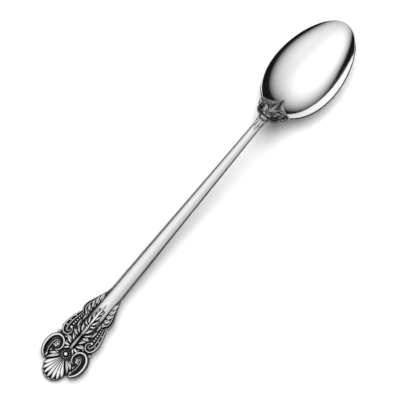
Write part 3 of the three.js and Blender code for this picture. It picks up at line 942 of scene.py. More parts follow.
@dataclass
class Stem:
    """The straight tapering stem, in the handle's frame, in millimetres.

    Attributes:
        workshop: The finishes and rules.
        start: Where the tongue starts under the middle leaf.
        end: Where the stem runs out inside the shoulder.
        root: Where the taper starts.
        root_width: Width at the terminal.
        neck_width: Width at the shoulder.
        root_thickness: Thickness at the terminal.
        neck_thickness: Thickness at the shoulder.
        crown: Height of the rounded top above the edges, for each millimetre of half width.
        dome: Power of the rounded top, where 2 is a parabola and more is flatter.
        stations: How many sections there are along it.
        turns: How many points there are to a section.
        shade_end: Where the terminal's ornament stops shading it, in metres in the table's frame.
        side_shade: How much painted shade darkens its steep sides.
    """

    workshop: Workshop
    start: float = 16.5
    end: float = 104.2
    root: float = 30.5
    root_width: float = 5.3
    neck_width: float = 2.7
    root_thickness: float = 2.2
    neck_thickness: float = 2.0
    crown: float = 0.49
    dome: float = 2.25
    stations: int = 161
    turns: int = 65
    shade_end: float = -0.04
    side_shade: float = 0.9

    def recipe(self) -> Recipe:
        """Makes the rule for the stem: domed sections along a line, closed at both ends.

        Returns:
            The rule.
        """
        widths = ("root_width", "neck_width", "root_thickness", "neck_thickness")
        sizes = labelled(self, "start", "end", "root", *widths, "crown", "dome", "stations", "turns")
        recipe = Recipe("stem rule", sizes)
        size = recipe.size
        grid, u, turn = recipe.grid("Stations", "Turns")
        turn = turn * math.tau
        x = (0.5 - (u * math.pi).math("COSINE") * 0.5).mix(size("Start"), size("End"))
        taper = ((x - size("Root")) / (size("End") - size("Root"))).math("MAXIMUM", 0.0)
        half = taper.mix(size("Root Width"), size("Neck Width")) / 2
        thick = taper.mix(size("Root Thickness"), size("Neck Thickness"))
        reach = (x - size("Start")).math("MINIMUM", size("End") - x) / (size("Root Width") / 2)
        back = 1 - reach.math("MINIMUM", 1.0)
        nose = (1 - back * back).math("MAXIMUM", 0.0).math("SQRT")
        crown = half * size("Crown")
        edge = thick - crown
        up, across = turn.math("SINE"), turn.math("COSINE")
        over = (up > 0.0) * (1 - abs(across).math("POWER", size("Dome")))
        z = edge + nose * (over * crown + up.math("MINIMUM", 0.0) * edge)
        recipe.close(recipe.bend(grid, x, half * nose * across, z))
        return recipe

    def top(self, x: Grid, y: Grid) -> Grid:
        """Finds the stem's top.

        Args:
            x: Places along the handle.
            y: Places across it.

        Returns:
            The height at each place, or 0 beside the stem.
        """
        taper = np.clip((x - self.root) / (self.end - self.root), 0, 1)
        half = mix(self.root_width, self.neck_width, taper) / 2
        thick = mix(self.root_thickness, self.neck_thickness, taper)
        back = 1 - np.clip((x - self.start) / (self.root_width / 2), 0, 1)
        nose = np.sqrt(np.maximum(1 - back**2, 1e-6))
        away = np.abs(y / (half * nose)) ** self.dome
        crown = half * self.crown
        return np.where(away < 1, thick - crown + nose * crown * (1 - away), 0.0)

    def build(self) -> list[Piece]:
        """Makes the stem.

        Returns:
            The piece.
        """
        rod = self.recipe().make(bpy.data.meshes.new("start"), self.workshop.satin)
        dark = {"shade_end": self.shade_end, "side_shade": self.side_shade}
        return [Piece("stem", [rod], HANDLE_PLACE, self.workshop.satin, Slot.POLISHED, **dark)]


@dataclass
class Shoulder:
    """The flare from the neck to the bowl, with its leaf and scrolls, in millimetres.

    Attributes:
        workshop: The finishes and rules.
        bowl: The bowl that it carries.
        stem: The stem that it grows from.
        seam: Where it meets the bowl.
        end: Where it runs out inside the bowl's wall.
        overlap: How far it reaches back over the stem's end.
        widening: Power of the widening, where less than 1 is quicker at the neck.
        brow: How far the widest place lies below the top at the seam.
        turn_in: How far before the seam its seat starts to follow the bowl's inside.
        turn_length: Over what length the seat comes to follow it.
        tuck: How far the flare stays under the seat of its ornaments.
        least: The least thickness that is left there.
        collars: Place, half width and half height of each ring of beads on the neck.
        collar_middle: Height of the rings' middle in the handle's frame.
        collar_beads: How many beads there are to a ring.
        collar_bead: Radius of those beads.
        apron_crown: Height of the leaf's apron on its middle line.
        apron_rim: Its height at the edge.
        scroll_sink: How far the scrolls are sunk into the flare.
        scroll_thin: Half a scroll's width at its ends.
        scroll_wide: Half its width at the widest place.
        scroll_eye: Radius of the ball at its end.
        scroll_steps: How many points there are along it.
        stations: How many sections the flare has.
        turns: How many points there are over the top of a section.
    """

    workshop: Workshop
    bowl: Bowl
    stem: Stem
    seam: float = 109.8
    end: float = 110.2
    overlap: float = 0.4
    widening: float = 0.85
    brow: float = 0.3
    turn_in: float = 1.0
    turn_length: float = 1.6
    tuck: float = 0.05
    least: float = 0.1
    collars: Sequence[tuple[float, float, float]] = (
        (102.3, 1.3, 0.95),
        (102.9, 1.2, 0.9),
        (103.6, 1.5, 1.02),
    )
    collar_middle: float = 1.05
    collar_beads: int = 24
    collar_bead: float = 0.26
    apron_crown: float = 0.7
    apron_rim: float = 0.2
    scroll_sink: float = 0.1
    scroll_thin: float = 0.35
    scroll_wide: float = 0.62
    scroll_eye: float = 0.42
    scroll_steps: int = 70
    stations: int = 49
    turns: int = 33

    def share(self, x: Grid | Number) -> Grid:
        """Returns how far x lies from the neck to the seam."""
        return np.clip((x - NECK_X) / (self.seam - NECK_X), 0, 1)

    def half(self, x: Grid | Number) -> Grid:
        """Returns half the flare's width at x."""
        wide = self.bowl.half_width(self.seam)
        return mix(self.stem.neck_width / 2, wide, self.share(x) ** self.widening)

    def top(self, x: Grid | Number) -> Grid:
        """Returns the height of the flare's middle line at x."""
        neck = NECK_RISE + self.stem.neck_thickness / math.cos(PITCH)
        return mix(neck, self.bowl.rim(self.seam), ease(self.share(x)))

    def bottom(self, x: Grid | Number) -> Grid:
        """Returns the height of the flare's underside at x."""
        heel = self.bowl.sheet(np.array(self.seam), np.array(0.0)) - self.bowl.wall / 2
        return mix(NECK_RISE, heel, ease(self.share(x)))

    def waist(self, x: Grid | Number) -> Grid:
        """Returns the height of the flare's widest place at x."""
        middle = (self.top(x) + self.bottom(x)) / 2
        return mix(middle, self.top(x) - self.brow, ease(self.share(x)))

    def skin(self, x: Grid, y: Grid) -> Grid:
        """Returns the height of the flare's upper surface at each place."""
        crown = np.sqrt(np.maximum(0, 1 - (y / self.half(x)) ** 2))
        return mix(self.waist(x), self.top(x), crown)

    def seat(self, x: Grid, y: Grid) -> Grid:
        """Finds what the ornaments lie on: the flare, and past the seam the bowl's inside.

        Args:
            x: Places along the spoon.
            y: Places across it.

        Returns:
            The height at each place.
        """
        skin = self.skin(x, y)
        inside = np.minimum(self.bowl.sheet(x, y) + self.bowl.wall / 2, skin)
        return mix(skin, inside, ease((x - self.seam + self.turn_in) / self.turn_length))

    def flare(self) -> bpy.types.Mesh:
        """Makes the flare's body.

        Returns:
            A closed mesh.
        """
        x = np.linspace(NECK_X - self.overlap, self.end, self.stations)[:, None]
        angle = np.linspace(0, math.pi, self.turns)[None, :]
        lift, y = np.sin(angle), self.half(x) * np.cos(angle)
        along = np.repeat(x, self.turns, 1)
        top = self.waist(x) + lift * (self.top(x) - self.waist(x))
        top = np.minimum(top, np.maximum(self.seat(along, y) - self.tuck, self.bottom(x) + self.least))
        bottom = self.waist(x) - lift * (self.waist(x) - self.bottom(x))
        return solid(np.stack([along, y, top], -1), np.stack([along, y, bottom], -1))

    def leaf(self) -> Piece:
        """Makes the leaf on the flare, whose apron and pip run down into the bowl.

        Returns:
            The piece.
        """
        widening = [(104.2, 0.3), (105.6, 1.8), (107.2, 2.6), (108.6, 4.3), (109.6, 5.2)]
        narrowing = [(110.4, 3.8), (111.4, 2.4), (112.5, 1.3), (113.6, 0.5), (114.4, 0.1)]
        apron = Mound(widening + narrowing, self.seat, self.apron_crown, self.apron_rim)
        side = [
            Lobe((105.4, 0.2), (110.6, 2.0), 1.5, 1.1),
            Lobe((105.2, 0.4), (109.2, 3.6), 1.4, 1.1),
            Lobe((104.8, 0.4), (107.4, 3.2), 1.2, 1.0),
            Lobe((104.4, 0.4), (105.6, 2.4), 1.0, 0.9),
        ]
        fan = [Lobe((105.4, 0.0), (112.6, 0.0), 1.5, 1.1), *both(side)]
        parts = [apron.mesh(), self.workshop.lobes(fan, self.seat, lift=0.4)]
        return Piece("shoulder_leaf", parts, TABLE_PLACE, self.workshop.darkened)

    def scroll(self, side: Side) -> Piece:
        """Makes one side's scroll, with the small leaf that runs on to the bowl's corner.

        Args:
            side: On which side it lies.

        Returns:
            The piece.
        """
        knots = [(0.6, 1.2), (1.5, 2.7), (2.9, 3.6), (4.2, 3.3), (4.6, 2.4), (3.9, 1.8), (3.2, 2.3)]
        plan = spline(knots, self.scroll_steps) + np.array([NECK_X, 0.0])
        u = np.linspace(0, 1, self.scroll_steps)
        route = np.column_stack([plan, self.skin(plan[:, 0], plan[:, 1]) - self.scroll_sink])
        width = mix(self.scroll_thin, self.scroll_wide, np.sin(math.pi * u**0.8))
        band = self.workshop.band(route, width, -1, self.scroll_eye)
        leaf = [
            Lobe((106.6, 3.2), (108.9, 5.6), 1.3, 1.0),
            Lobe((106.4, 3.6), (107.6, 5.0), 1.1, 1.0),
            Lobe((107.2, 3.0), (109.9, 4.9), 1.2, 1.0),
        ]
        parts = [band, self.workshop.lobes(leaf, self.seat, lift=0.3)]
        return Piece(f"shoulder_scroll_{side.word}", parts, TABLE_PLACE @ side.turn, self.workshop.darkened)

    def husk(self) -> Piece:
        """Makes the small leaf that holds the end of the stem, and its beaded collar.

        Returns:
            The piece.
        """
        side = [Lobe((103.2, 0.5), (100.3, 1.0), 1.0, 0.9), Lobe((103.4, 0.9), (101.6, 1.3), 0.9, 0.9)]
        lobes = [Lobe((103.4, 0.0), (98.9, 0.0), 1.2, 0.9), *both(side)]
        parts = [self.workshop.lobes(lobes, self.stem.top)]
        for x, wide, high in self.collars:
            route = circle((x, 0.0, self.collar_middle), (0.0, wide, 0.0), (0.0, 0.0, high))
            parts.append(self.workshop.beads(route, self.collar_beads, self.collar_bead, self.collar_bead))
        return Piece("neck_husk", parts, HANDLE_PLACE, self.workshop.darkened)

    def build(self) -> list[Piece]:
        """Makes the flare and its ornaments.

        Returns:
            The pieces.
        """
        scrolls = [self.scroll(side) for side in Side]
        flare = Piece("shoulder", [self.flare()], TABLE_PLACE, self.workshop.darkened)
        return [flare, self.leaf(), *scrolls, self.husk()]


@dataclass
class Terminal:
    """The ornamented end of the handle, in the handle's frame, in millimetres.

    Attributes:
        workshop: The finishes and rules.
        stem: The stem whose tongue it holds.
        thickness: Thickness of the back plate.
        rim: Half the thickness left at the plate's edge.
        cover: How far the plate reaches past the underside of the stem's tongue.
        side_round: Power of the rounding at the plate's sides, where more is sharper.
        end_round: The same at its ends.
        outline: Place along the plate, and half its width there.
        hinge: Where the shell's ribs start.
        ribs: How many ribs the shell has.
        rib_spread: How far from the middle line the outermost ribs start.
        fan: How far the middle rib's tip lies from the point that the tips are turned about.
        fan_angle: How far the outermost ribs are turned from the middle one, in radians.
        fan_round: How much shorter the outermost ribs are, as a share.
        lip_sink: How far the shell's lip is sunk into the plate.
        lip_thin: Half the lip's width at its ends.
        lip_wide: Half its width at the tip.
        lip_steps: How many points there are along it.
        boss: Where the middle of the boss lies.
        boss_height: How high that is.
        boss_radius: Radius of the boss.
        ring_radius: Radius of the ring of beads round it.
        ring_height: Height of that ring.
        ring_beads: How many beads the ring has.
        ring_bead: Radius of those beads.
        lower_thin: Half the lower scrolls' width at their ends.
        lower_wide: Half their width at the widest place.
        upper_thin: Half the upper scrolls' width at their ends.
        upper_wide: Half their width at the widest place.
        upper_eye: Radius of the ball at their end.
        scroll_sink: How far scrolls are sunk into the plate.
        row_height: Height of the rows of beads.
        row_beads: How many beads there are to a row.
        row_first: Radius of the first bead.
        row_last: Radius of the last bead.
        row_steps: How many points there are along the path of a row.
        flower: Where the middle of the left rosette lies.
        petals: How many petals it has.
        petal_root: How far from the middle they start.
        petal_tip: How far from the middle they end.
        heart_height: Height of the bead in the middle.
        heart_radius: Radius of that bead.
        edge_wide: Half the width of the side leaves' rolled edge at its start.
        edge_thin: Half its width at its end.
        steps: How many points there are along a scroll.
    """

    workshop: Workshop
    stem: Stem
    thickness: float = 1.2
    rim: float = 0.03
    cover: float = 0.02
    side_round: int = 16
    end_round: int = 30
    outline: Sequence[tuple[float, float]] = (
        (0.05, 0.5),
        (0.35, 1.6),
        (1.5, 2.9),
        (3.2, 3.8),
        (4.8, 4.3),
        (6.6, 6.6),
        (9.4, 7.4),
        (12.2, 6.8),
        (14.4, 6.1),
        (18.5, 5.6),
        (22.8, 4.5),
        (25.2, 4.9),
        (28.0, 4.0),
        (30.5, 3.0),
    )
    hinge: float = 8.2
    ribs: int = 7
    rib_spread: float = 0.25
    fan: float = 7.9
    fan_angle: float = 0.62
    fan_round: float = 0.18
    lip_sink: float = 0.3
    lip_thin: float = 0.15
    lip_wide: float = 0.42
    lip_steps: int = 90
    boss: float = 9.3
    boss_height: float = 1.6
    boss_radius: float = 0.95
    ring_radius: float = 1.2
    ring_height: float = 1.5
    ring_beads: int = 13
    ring_bead: float = 0.3
    lower_thin: float = 0.55
    lower_wide: float = 1.45
    upper_thin: float = 0.4
    upper_wide: float = 1.0
    upper_eye: float = 0.7
    scroll_sink: float = 0.05
    row_height: float = 1.4
    row_beads: int = 7
    row_first: float = 0.46
    row_last: float = 0.32
    row_steps: int = 20
    flower: tuple[float, float] = (9.9, 4.5)
    petals: int = 5
    petal_root: float = 0.1
    petal_tip: float = 1.3
    heart_height: float = 1.9
    heart_radius: float = 0.42
    edge_wide: float = 0.75
    edge_thin: float = 0.15
    steps: int = 110

    def ground(self, x: Grid, y: Grid) -> Grid:
        """Returns the height of the plate, or of the stem where it lies on the plate."""
        return np.maximum(self.thickness, self.stem.top(x, y))

    def flat(self, x: Grid, y: Grid) -> Grid:
        """Returns the height of the plate alone."""
        return np.full_like(x, self.thickness)

    def scroll(
        self, knots: Sequence[Sequence[float]], width: Grid, outer: int, eye: float = 0.0, **changed: Number
    ) -> bpy.types.Mesh:
        """Makes a scroll that is sunk a little into the plate.

        Args:
            knots: The plan points that its middle passes through.
            width: Half its width at each step.
            outer: 1 if its rolled edge is on the right of the path, -1 if on the left.
            eye: Radius of the ball at its end, if it has one.
            changed: Named inputs of the band rule that differ.

        Returns:
            The mesh.
        """
        route = level_path(knots, self.thickness - self.scroll_sink, self.steps)
        return self.workshop.band(route, width, outer, eye, **changed)

    def bead(self, place: Sequence[float], height: float, radius: float) -> bpy.types.Mesh:
        """Returns a single bead at a place in plan, on the start of a short path."""
        spot = np.array([*place, height])
        return self.workshop.beads(np.array([spot, spot + radius]), 1, radius, radius)

    def plate(self) -> Piece:
        """Makes the back plate, with its edges rounded.

        Returns:
            The piece.
        """
        rows, columns = 161, 81
        line = spline(self.outline, rows)
        u, v = np.linspace(-1, 1, rows)[:, None], np.linspace(-1, 1, columns)[None, :]
        x, y = np.repeat(line[:, :1], columns, 1), line[:, 1:] * v
        fullness = np.sqrt((1 - v**self.side_round) * (1 - u**self.end_round))
        edge = mix(self.rim, self.thickness / 2 + self.cover, fullness)
        top = np.stack([x, y, self.thickness / 2 + edge], -1)
        bottom = np.stack([x, y, self.thickness / 2 - edge], -1)
        parts = [solid(top, bottom)]
        return Piece("terminal_plate", parts, HANDLE_PLACE, self.workshop.ground, matted=True)

    def acanthus(self) -> Piece:
        """Makes the middle leaf, which climbs from the plate on to the stem.

        Returns:
            The piece.
        """
        ribs = [
            Lobe((10.8, 0.0), (17.4, 0.0), 1.0, 2.4),
            Lobe((15.2, 0.0), (22.8, 0.0), 1.0, 2.1),
            Lobe((20.2, 0.0), (28.6, 0.0), 1.0, 1.5),
        ]
        side = [
            Lobe((12.4, 0.4), (10.3, 2.2), 1.8, 1.7, 0.4),
            Lobe((12.4, 0.4), (11.9, 3.6), 2.1, 1.9, 0.5),
            Lobe((12.8, 0.4), (14.3, 3.4), 2.0, 1.9, 0.5),
            Lobe((13.8, 0.4), (16.2, 2.4), 1.8, 1.9, 0.4),
            Lobe((16.2, 0.4), (16.9, 3.0), 1.8, 1.7, 0.4),
            Lobe((16.6, 0.4), (18.9, 2.7), 1.8, 1.7, 0.3),
            Lobe((17.6, 0.4), (20.5, 1.8), 1.6, 1.6, 0.2),
            Lobe((20.2, 0.3), (21.6, 2.1), 1.6, 1.4, 0.2),
            Lobe((20.8, 0.3), (23.6, 1.6), 1.5, 1.3, 0.1),
            Lobe((22.6, 0.2), (25.2, 1.0), 1.3, 1.2, 0.1),
            Lobe((24.6, 0.2), (26.8, 0.9), 1.1, 1.0),
            Lobe((14.0, 2.4), (13.3, 4.4), 1.7, 1.6, 0.2),
            Lobe((17.6, 2.6), (20.6, 3.2), 1.3, 1.4, 0.1),
            Lobe((20.2, 2.7), (23.6, 2.9), 1.2, 1.3, 0.1),
        ]
        parts = [
            self.workshop.lobes(ribs, self.ground, Bend=0.0),
            self.workshop.lobes(both(side), self.ground, lean=0.5, Crease=0.5),
        ]
        return Piece("acanthus_leaf", parts, HANDLE_PLACE, self.workshop.antiqued)

    def shell(self) -> Piece:
        """Makes the fluted shell at the tip, with its lip and the leaves beside it.

        Returns:
            The piece.
        """
        ribs = []
        for k in np.linspace(-1, 1, self.ribs):
            reach, angle = self.fan * (1 - self.fan_round * k**2), self.fan_angle * k
            tip = (self.fan - reach * math.cos(angle), reach * math.sin(angle))
            ribs.append(Lobe((self.hinge, self.rib_spread * k), tip, 1.8, 1.9, 0.1))
        leaves = [
            Lobe((8.0, 1.2), (4.6, 4.3), 1.2, 1.9, 0.2),
            Lobe((7.9, 1.8), (6.3, 4.6), 1.2, 1.7, 0.2),
            Lobe((8.2, 2.0), (7.7, 3.3), 1.0, 1.5),
        ]
        half_lip = [(0.35, 0.0), (0.45, 1.0), (0.9, 2.0), (1.9, 2.9), (3.2, 3.5), (4.4, 3.8)]
        knots = [*((x, -y) for x, y in half_lip[:0:-1]), *half_lip]
        lip = level_path(knots, self.thickness - self.lip_sink, self.lip_steps)
        swell = np.sin(np.linspace(0, math.pi, self.lip_steps)) ** 0.6
        width = mix(self.lip_thin, self.lip_wide, swell)
        parts = [
            self.workshop.lobes(ribs, self.ground, Lean=1.9, Crease=0.0, Bend=0.0),
            self.workshop.lobes(both(leaves), self.ground, lean=0.4),
            self.workshop.band(lip, width, 1, Roll_Middle=0.0, Roll_Reach=1.0, Roll_Height=1.3),
        ]
        return Piece("tip_shell", parts, HANDLE_PLACE, self.workshop.antiqued)

    def knob(self) -> Piece:
        """Makes the boss at the shell's hinge, in a ring of small beads.

        Returns:
            The piece.
        """
        middle, radius = (self.boss, 0.0, self.ring_height), self.ring_radius
        ring = circle(middle, (radius, 0.0, 0.0), (0.0, radius, 0.0))
        parts = [
            self.workshop.beads(ring, self.ring_beads, self.ring_bead, self.ring_bead),
            self.bead((self.boss, 0.0), self.boss_height, self.boss_radius),
        ]
        return Piece("shell_boss", parts, HANDLE_PLACE, self.workshop.antiqued)

    def lower_scroll(self) -> list[bpy.types.Mesh]:
        """Makes the broad scroll at the terminal's widest place.

        Returns:
            Its meshes, on the left.
        """
        outside = [(4.6, 4.3), (5.6, 5.5), (7.2, 6.3), (9.3, 6.5), (11.2, 6.0)]
        inside = [(12.2, 4.8), (11.8, 3.4), (10.4, 2.7), (9.2, 2.9), (8.4, 3.7)]
        swell = np.sin(math.pi * np.linspace(0, 1, self.steps) ** 0.7)
        width = mix(self.lower_thin, self.lower_wide, swell)
        moulding = {"Roll_Middle": 0.45, "Roll_Reach": 0.55, "Thread_Middle": -0.75, "Thread_Reach": 0.25}
        leaf = [
            Lobe((11.8, 5.0), (14.0, 6.6), 1.6, 1.7, 0.2),
            Lobe((12.2, 4.4), (14.2, 5.2), 1.4, 1.6, 0.2),
            Lobe((6.6, 4.8), (4.4, 5.0), 1.5, 1.7, 0.2),
            Lobe((8.2, 4.2), (6.4, 5.0), 1.2, 1.5),
        ]
        band = self.scroll(outside + inside, width, -1, **moulding)
        return [band, self.workshop.lobes(leaf, self.flat, lean=0.4)]

    def upper_scroll(self) -> list[bpy.types.Mesh]:
        """Makes the scroll at the terminal's waist.

        Returns:
            Its meshes, on the left.
        """
        outside = [(23.4, 4.3), (21.0, 5.0), (18.4, 5.6), (16.2, 5.7)]
        inside = [(14.7, 5.0), (14.6, 3.9), (15.7, 3.4), (16.7, 4.1)]
        swell = np.sin(math.pi * np.linspace(0, 1, self.steps) ** 0.9)
        width = mix(self.upper_thin, self.upper_wide, swell)
        leaf = [
            Lobe((17.2, 5.4), (15.2, 6.7), 1.4, 1.5, 0.2),
            Lobe((19.0, 5.2), (17.6, 6.4), 1.3, 1.4, 0.1),
            Lobe((20.8, 4.8), (19.8, 5.9), 1.2, 1.4, 0.1),
        ]
        band = self.scroll(outside + inside, width, 1, self.upper_eye)
        return [band, self.workshop.lobes(leaf, self.flat, lean=0.4)]

    def bead_row(self) -> list[bpy.types.Mesh]:
        """Makes the graduated beads inside the upper scroll.

        Returns:
            Its meshes, on the left.
        """
        knots = [(17.9, 4.15), (20.4, 3.95), (22.9, 3.6)]
        route = level_path(knots, self.row_height, self.row_steps)
        return [self.workshop.beads(route, self.row_beads, self.row_first, self.row_last)]

    def rosette(self) -> list[bpy.types.Mesh]:
        """Makes the rosette in the lower scroll's eye.

        Returns:
            Its meshes, on the left.
        """
        middle = np.array(self.flower)
        petals = []
        for angle in np.linspace(0, math.tau, self.petals + 1)[: self.petals]:
            away = np.array([math.cos(angle), math.sin(angle)])
            root, tip = middle + self.petal_root * away, middle + self.petal_tip * away
            petals.append(Lobe(tuple(root), tuple(tip), 1.25, 1.5, 0.2))
        leaves = self.workshop.lobes(petals, self.ground, Crease=0.2, Bend=0.0)
        return [leaves, self.bead(self.flower, self.heart_height, self.heart_radius)]

    def side_leaf(self) -> list[bpy.types.Mesh]:
        """Makes the half leaf beside the stem, with its rolled edge.

        Returns:
            Its meshes, on the left.
        """
        edge = [(22.9, 3.9), (23.9, 4.7), (25.6, 4.7), (27.8, 3.95), (30.2, 3.1), (33.4, 2.2)]
        width = mix(self.edge_wide, self.edge_thin, np.linspace(0, 1, self.steps) ** 2)
        leaf = [
            Lobe((22.4, 2.8), (24.6, 4.2), 1.8, 1.6, 0.2),
            Lobe((23.6, 2.8), (26.2, 4.2), 1.8, 1.6, 0.2),
            Lobe((25.0, 2.7), (27.9, 3.8), 1.7, 1.6, 0.2),
            Lobe((26.6, 2.7), (29.6, 3.3), 1.5, 1.5, 0.1),
            Lobe((28.2, 2.6), (31.2, 2.8), 1.3, 1.4, 0.1),
        ]
        band = self.scroll(edge, width, 1, Roll_Height=1.7)
        return [band, self.workshop.lobes(leaf, self.flat, lean=0.5, Crease=0.45)]

    def build(self) -> list[Piece]:
        """Makes the plate and its ornaments.

        Returns:
            The pieces.
        """
        made = [self.plate(), self.acanthus(), self.shell(), self.knob()]
        pairs = {
            "lower_scroll": self.lower_scroll,
            "upper_scroll": self.upper_scroll,
            "bead_row": self.bead_row,
            "rosette": self.rosette,
            "side_leaf": self.side_leaf,
        }
        for side in Side:
            place = HANDLE_PLACE @ side.turn
            for name, make in pairs.items():
                made.append(Piece(f"{name}_{side.word}", make(), place, self.workshop.antiqued))
        return made


@dataclass
class PatinaAndShade:
    """Finds where polish doesn't reach, by looking out from each point of the surface, and paints shade on
    steep sides.

    Attributes:
        reach: How far it looks, in metres.
        looks: In how many directions.
        stand: How far off the surface it looks from, in metres.
        fade: How much less a hit at the end of the reach counts than one close by.
        steep: The upright part of the normal at which a side begins to be steep, and is so wholly, for the
            painted shade there.
        level: The upright part of the normal at which a place begins to be level, and is so wholly.
        tree: The surfaces of all pieces.
    """

    reach: float = 0.0022
    looks: int = 16
    stand: float = 4e-5
    fade: float = 0.5
    steep: tuple[float, float] = (0.95, 0.2)
    level: tuple[float, float] = (0.8, 0.95)
    tree: BVHTree | None = field(default=None, repr=False)

    def gather(self, objects: Sequence[bpy.types.Object]) -> None:
        """Takes up the surfaces of all pieces.

        Args:
            objects: The pieces.
        """
        points: list[Vector] = []
        faces: list[list[int]] = []
        for made in objects:
            start = len(points)
            points += [vertex.co.copy() for vertex in made.data.vertices]
            faces += [[start + corner for corner in face.vertices] for face in made.data.polygons]
        self.tree = BVHTree.FromPolygons(points, faces)

    def fan(self) -> list[Vector]:
        """Spreads the looks about +Z, closer together towards it.

        Returns:
            The direction of each look.
        """
        rise = 1 - (np.arange(self.looks) + 0.5) / self.looks
        turn = np.arange(self.looks) * math.pi * (3 - math.sqrt(5))
        flat = np.sqrt(1 - rise)
        rows = np.column_stack([flat * np.cos(turn), flat * np.sin(turn), np.sqrt(rise)])
        return [Vector(row) for row in rows]

    def dress(self, piece: Piece, made: bpy.types.Object) -> None:
        """Writes a piece's attribute of patina and painted shade: from 0 in the open to 1 where all looks
        are blocked, plus painted shade on steep sides.

        Args:
            piece: How the piece takes the dark.
            made: The piece's object.
        """
        fan = self.fan()
        values = np.zeros(len(made.data.vertices))
        for index, vertex in enumerate(made.data.vertices):
            aim = vertex.normal.to_track_quat("Z", "Y")
            eye = vertex.co + vertex.normal * self.stand
            hidden = 0.0
            for look in fan if vertex.co.x < piece.shade_end else ():
                distance = self.tree.ray_cast(eye, aim @ look, self.reach)[3]
                hidden += 0.0 if distance is None else 1 - self.fade * distance / self.reach
            upright = vertex.normal.z
            # Patina where the looks are blocked, plus painted shade on steep sides, for the dark that they
            # reflect.
            values[index] = hidden / self.looks + piece.side_shade * self.between(abs(upright), self.steep)
            if piece.matted:
                values[index] = max(values[index], self.between(upright, self.level))
        made.data.attributes.new("recess", "FLOAT", "POINT").data.foreach_set("value", values)

    @staticmethod
    def between(value: float, limits: tuple[float, float]) -> float:
        """Returns a smooth climb from 0 at the first limit to 1 at the second."""
        return ease((value - limits[0]) / (limits[1] - limits[0]))


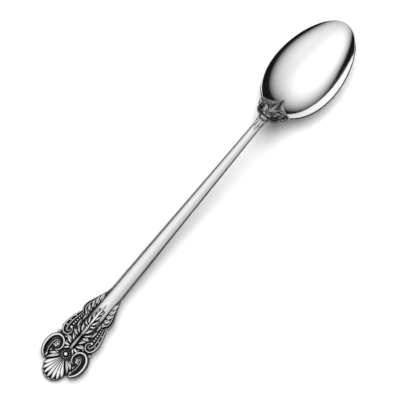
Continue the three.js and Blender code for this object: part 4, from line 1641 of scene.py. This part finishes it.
@dataclass
class Studio:
    """The table, the light and the camera, in metres.

    The dome is dark up to a horizon, and then brightens quickly. Both change with the direction: left
    is the spoon's left, ahead is from the handle to the bowl, and the corner lies between them.

    Attributes:
        elevation: The camera's height above the table, in degrees.
        turn: How far the spoon is turned in the picture, in degrees.
        distance: From the camera to the middle of the spoon.
        half_view: Half the picture's width at that distance.
        near: The nearest distance that the camera sees.
        aim: The place on the table in the middle of the picture.
        table_half: Half the table's width.
        table_drop: How far the table's top lies below the spoon.
        table_white: The table's colour.
        horizon: Where the dome begins to brighten, as a height on a unit dome.
        horizon_left: How much lower that is on the left.
        horizon_corner: How much lower it is at the corner.
        climb: The height over which it gains two thirds of its brightness.
        climb_left: How much more that is on the left.
        climb_ahead: How much more it is ahead.
        climb_corner: How much more it is at the corner.
        white: Brightness overhead.
        white_left: How much less that is on the left.
        black: Brightness below the horizon.
        panel: Where the broad bright panel lies on the dome.
        panel_white: How much brightness the panel adds.
        panel_reach: How near the panel's middle that is full, as a cosine.
        fill: Share of the dome's light that falls on the table.
        lamp_place: Where the lamp hangs.
        lamp_size: Its diameter.
        lamp_power: Its power in watts.
    """

    elevation: float = 77.0
    turn: float = 49.97
    distance: float = 0.5
    half_view: float = 0.06285
    near: float = 0.01
    aim: tuple[float, float, float] = (-0.0001, 0.0001, 0.0)
    table_half: float = 2.0
    table_drop: float = 5e-5
    table_white: float = 0.9
    horizon: float = 0.252
    horizon_left: float = 0.026
    horizon_corner: float = 0.344
    climb: float = 0.185
    climb_left: float = 0.068
    climb_ahead: float = 0.174
    climb_corner: float = 0.087
    white: float = 1.09
    white_left: float = 0.06
    black: float = 0.01
    panel: tuple[float, float, float] = (0.05, 0.745, 0.666)
    panel_white: float = 0.6
    panel_reach: float = 0.99
    fill: float = 0.2
    lamp_place: tuple[float, float, float] = (0.16, 0.09, 0.66)
    lamp_size: float = 0.7
    lamp_power: float = 6.8

    def camera(self) -> None:
        """Makes the camera at the photograph's angle."""
        e, t = math.radians(self.elevation), math.radians(self.turn)
        right = Vector((math.cos(t), -math.sin(t), 0))
        back = Vector((-math.cos(e) * math.sin(t), -math.cos(e) * math.cos(t), math.sin(e)))
        axes = Matrix((right, back.cross(right), back)).transposed().to_4x4()
        data = bpy.data.cameras.new("camera")
        data.sensor_fit = "HORIZONTAL"
        data.angle = 2 * math.atan(self.half_view / self.distance)
        data.clip_start = self.near
        made = bpy.data.objects.new("camera", data)
        made.matrix_world = Matrix.Translation(Vector(self.aim) + back * self.distance) @ axes
        bpy.context.scene.collection.objects.link(made)
        bpy.context.scene.camera = made

    def table(self) -> None:
        """Makes the white table."""
        half, white = self.table_half, self.table_white
        corners = [(-half, -half, 0), (half, -half, 0), (half, half, 0), (-half, half, 0)]
        mesh = bpy.data.meshes.new("table")
        mesh.from_pydata(corners, [], [(0, 1, 2, 3)])
        made = bpy.data.materials.new("white table")
        made.use_nodes = True
        graph = Graph(made.node_tree)
        shader = graph.node("ShaderNodeBsdfDiffuse", None, {"Color": (white, white, white, 1)})
        graph.node("ShaderNodeOutputMaterial", None, {"Surface": shader})
        mesh.materials.append(made)
        floor = bpy.data.objects.new("table", mesh)
        floor.location.z = -self.table_drop
        bpy.context.scene.collection.objects.link(floor)

    def world(self) -> None:
        """Makes a white dome that darkens to the horizon, which the metal shows in full."""
        made = bpy.data.worlds.new("studio")
        made.use_nodes = True
        bpy.context.scene.world = made
        graph = Graph(made.node_tree)
        towards = graph.node("ShaderNodeTexCoord", output="Generated")
        axes = graph.node("ShaderNodeSeparateXYZ", None, {0: towards})
        ahead, left = axes.out("X").math("MAXIMUM", 0.0), axes.out("Y")
        corner = ahead * left.math("MAXIMUM", 0.0)
        horizon = self.horizon - left * self.horizon_left - corner * self.horizon_corner
        further = ahead * (left * self.climb_corner + self.climb_ahead)
        climb = left * self.climb_left + further + self.climb
        height = (axes.out("Z") - horizon).math("MAXIMUM", 0.0) / climb
        dome = 1 - (height * -1).math("EXPONENT")
        inputs = {0: towards, 1: self.panel}
        facing = graph.node("ShaderNodeVectorMath", {"operation": "DOT_PRODUCT"}, inputs, "Value")
        light = self.white - left * self.white_left + facing.ease(0.0, self.panel_reach) * self.panel_white
        tone = dome * light + self.black
        path = graph.node("ShaderNodeLightPath", output="Is Glossy Ray")
        seen = path.mix(tone * self.fill, tone)
        colour = graph.node("ShaderNodeCombineColor", None, {"Red": seen, "Green": seen, "Blue": seen})
        shader = graph.node("ShaderNodeBackground", None, {"Color": colour, "Strength": 1.0})
        graph.node("ShaderNodeOutputWorld", None, {"Surface": shader})

    def lamp(self) -> None:
        """Makes one large soft lamp, high up past the bowl and to its left, for the table alone."""
        data = bpy.data.lights.new("softbox", "AREA")
        data.shape = "DISK"
        data.size = self.lamp_size
        data.energy = self.lamp_power
        made = bpy.data.objects.new("softbox", data)
        made.location = Vector(self.lamp_place)
        made.rotation_euler = made.location.to_track_quat("Z", "Y").to_euler()
        made.visible_glossy = False
        bpy.context.scene.collection.objects.link(made)

    def build(self) -> None:
        """Makes everything around the spoon."""
        self.camera()
        self.table()
        self.world()
        self.lamp()
        bpy.context.scene.view_settings.view_transform = "Standard"


def main() -> None:
    """Builds the spoon and the studio, and writes how large they came out."""
    logging.basicConfig(level=logging.INFO, format="%(name)s %(message)s")
    Studio().build()
    workshop = Workshop()
    bowl, stem = Bowl(workshop), Stem(workshop)
    pieces = bowl.build() + stem.build()
    pieces += Shoulder(workshop, bowl, stem).build() + Terminal(workshop, stem).build()
    objects = [piece.settle() for piece in pieces]
    patina_and_shade = PatinaAndShade()
    patina_and_shade.gather(objects)
    for piece, made in zip(pieces, objects):
        if piece.shaded:
            patina_and_shade.dress(piece, made)


if __name__ == "__main__":
    main()
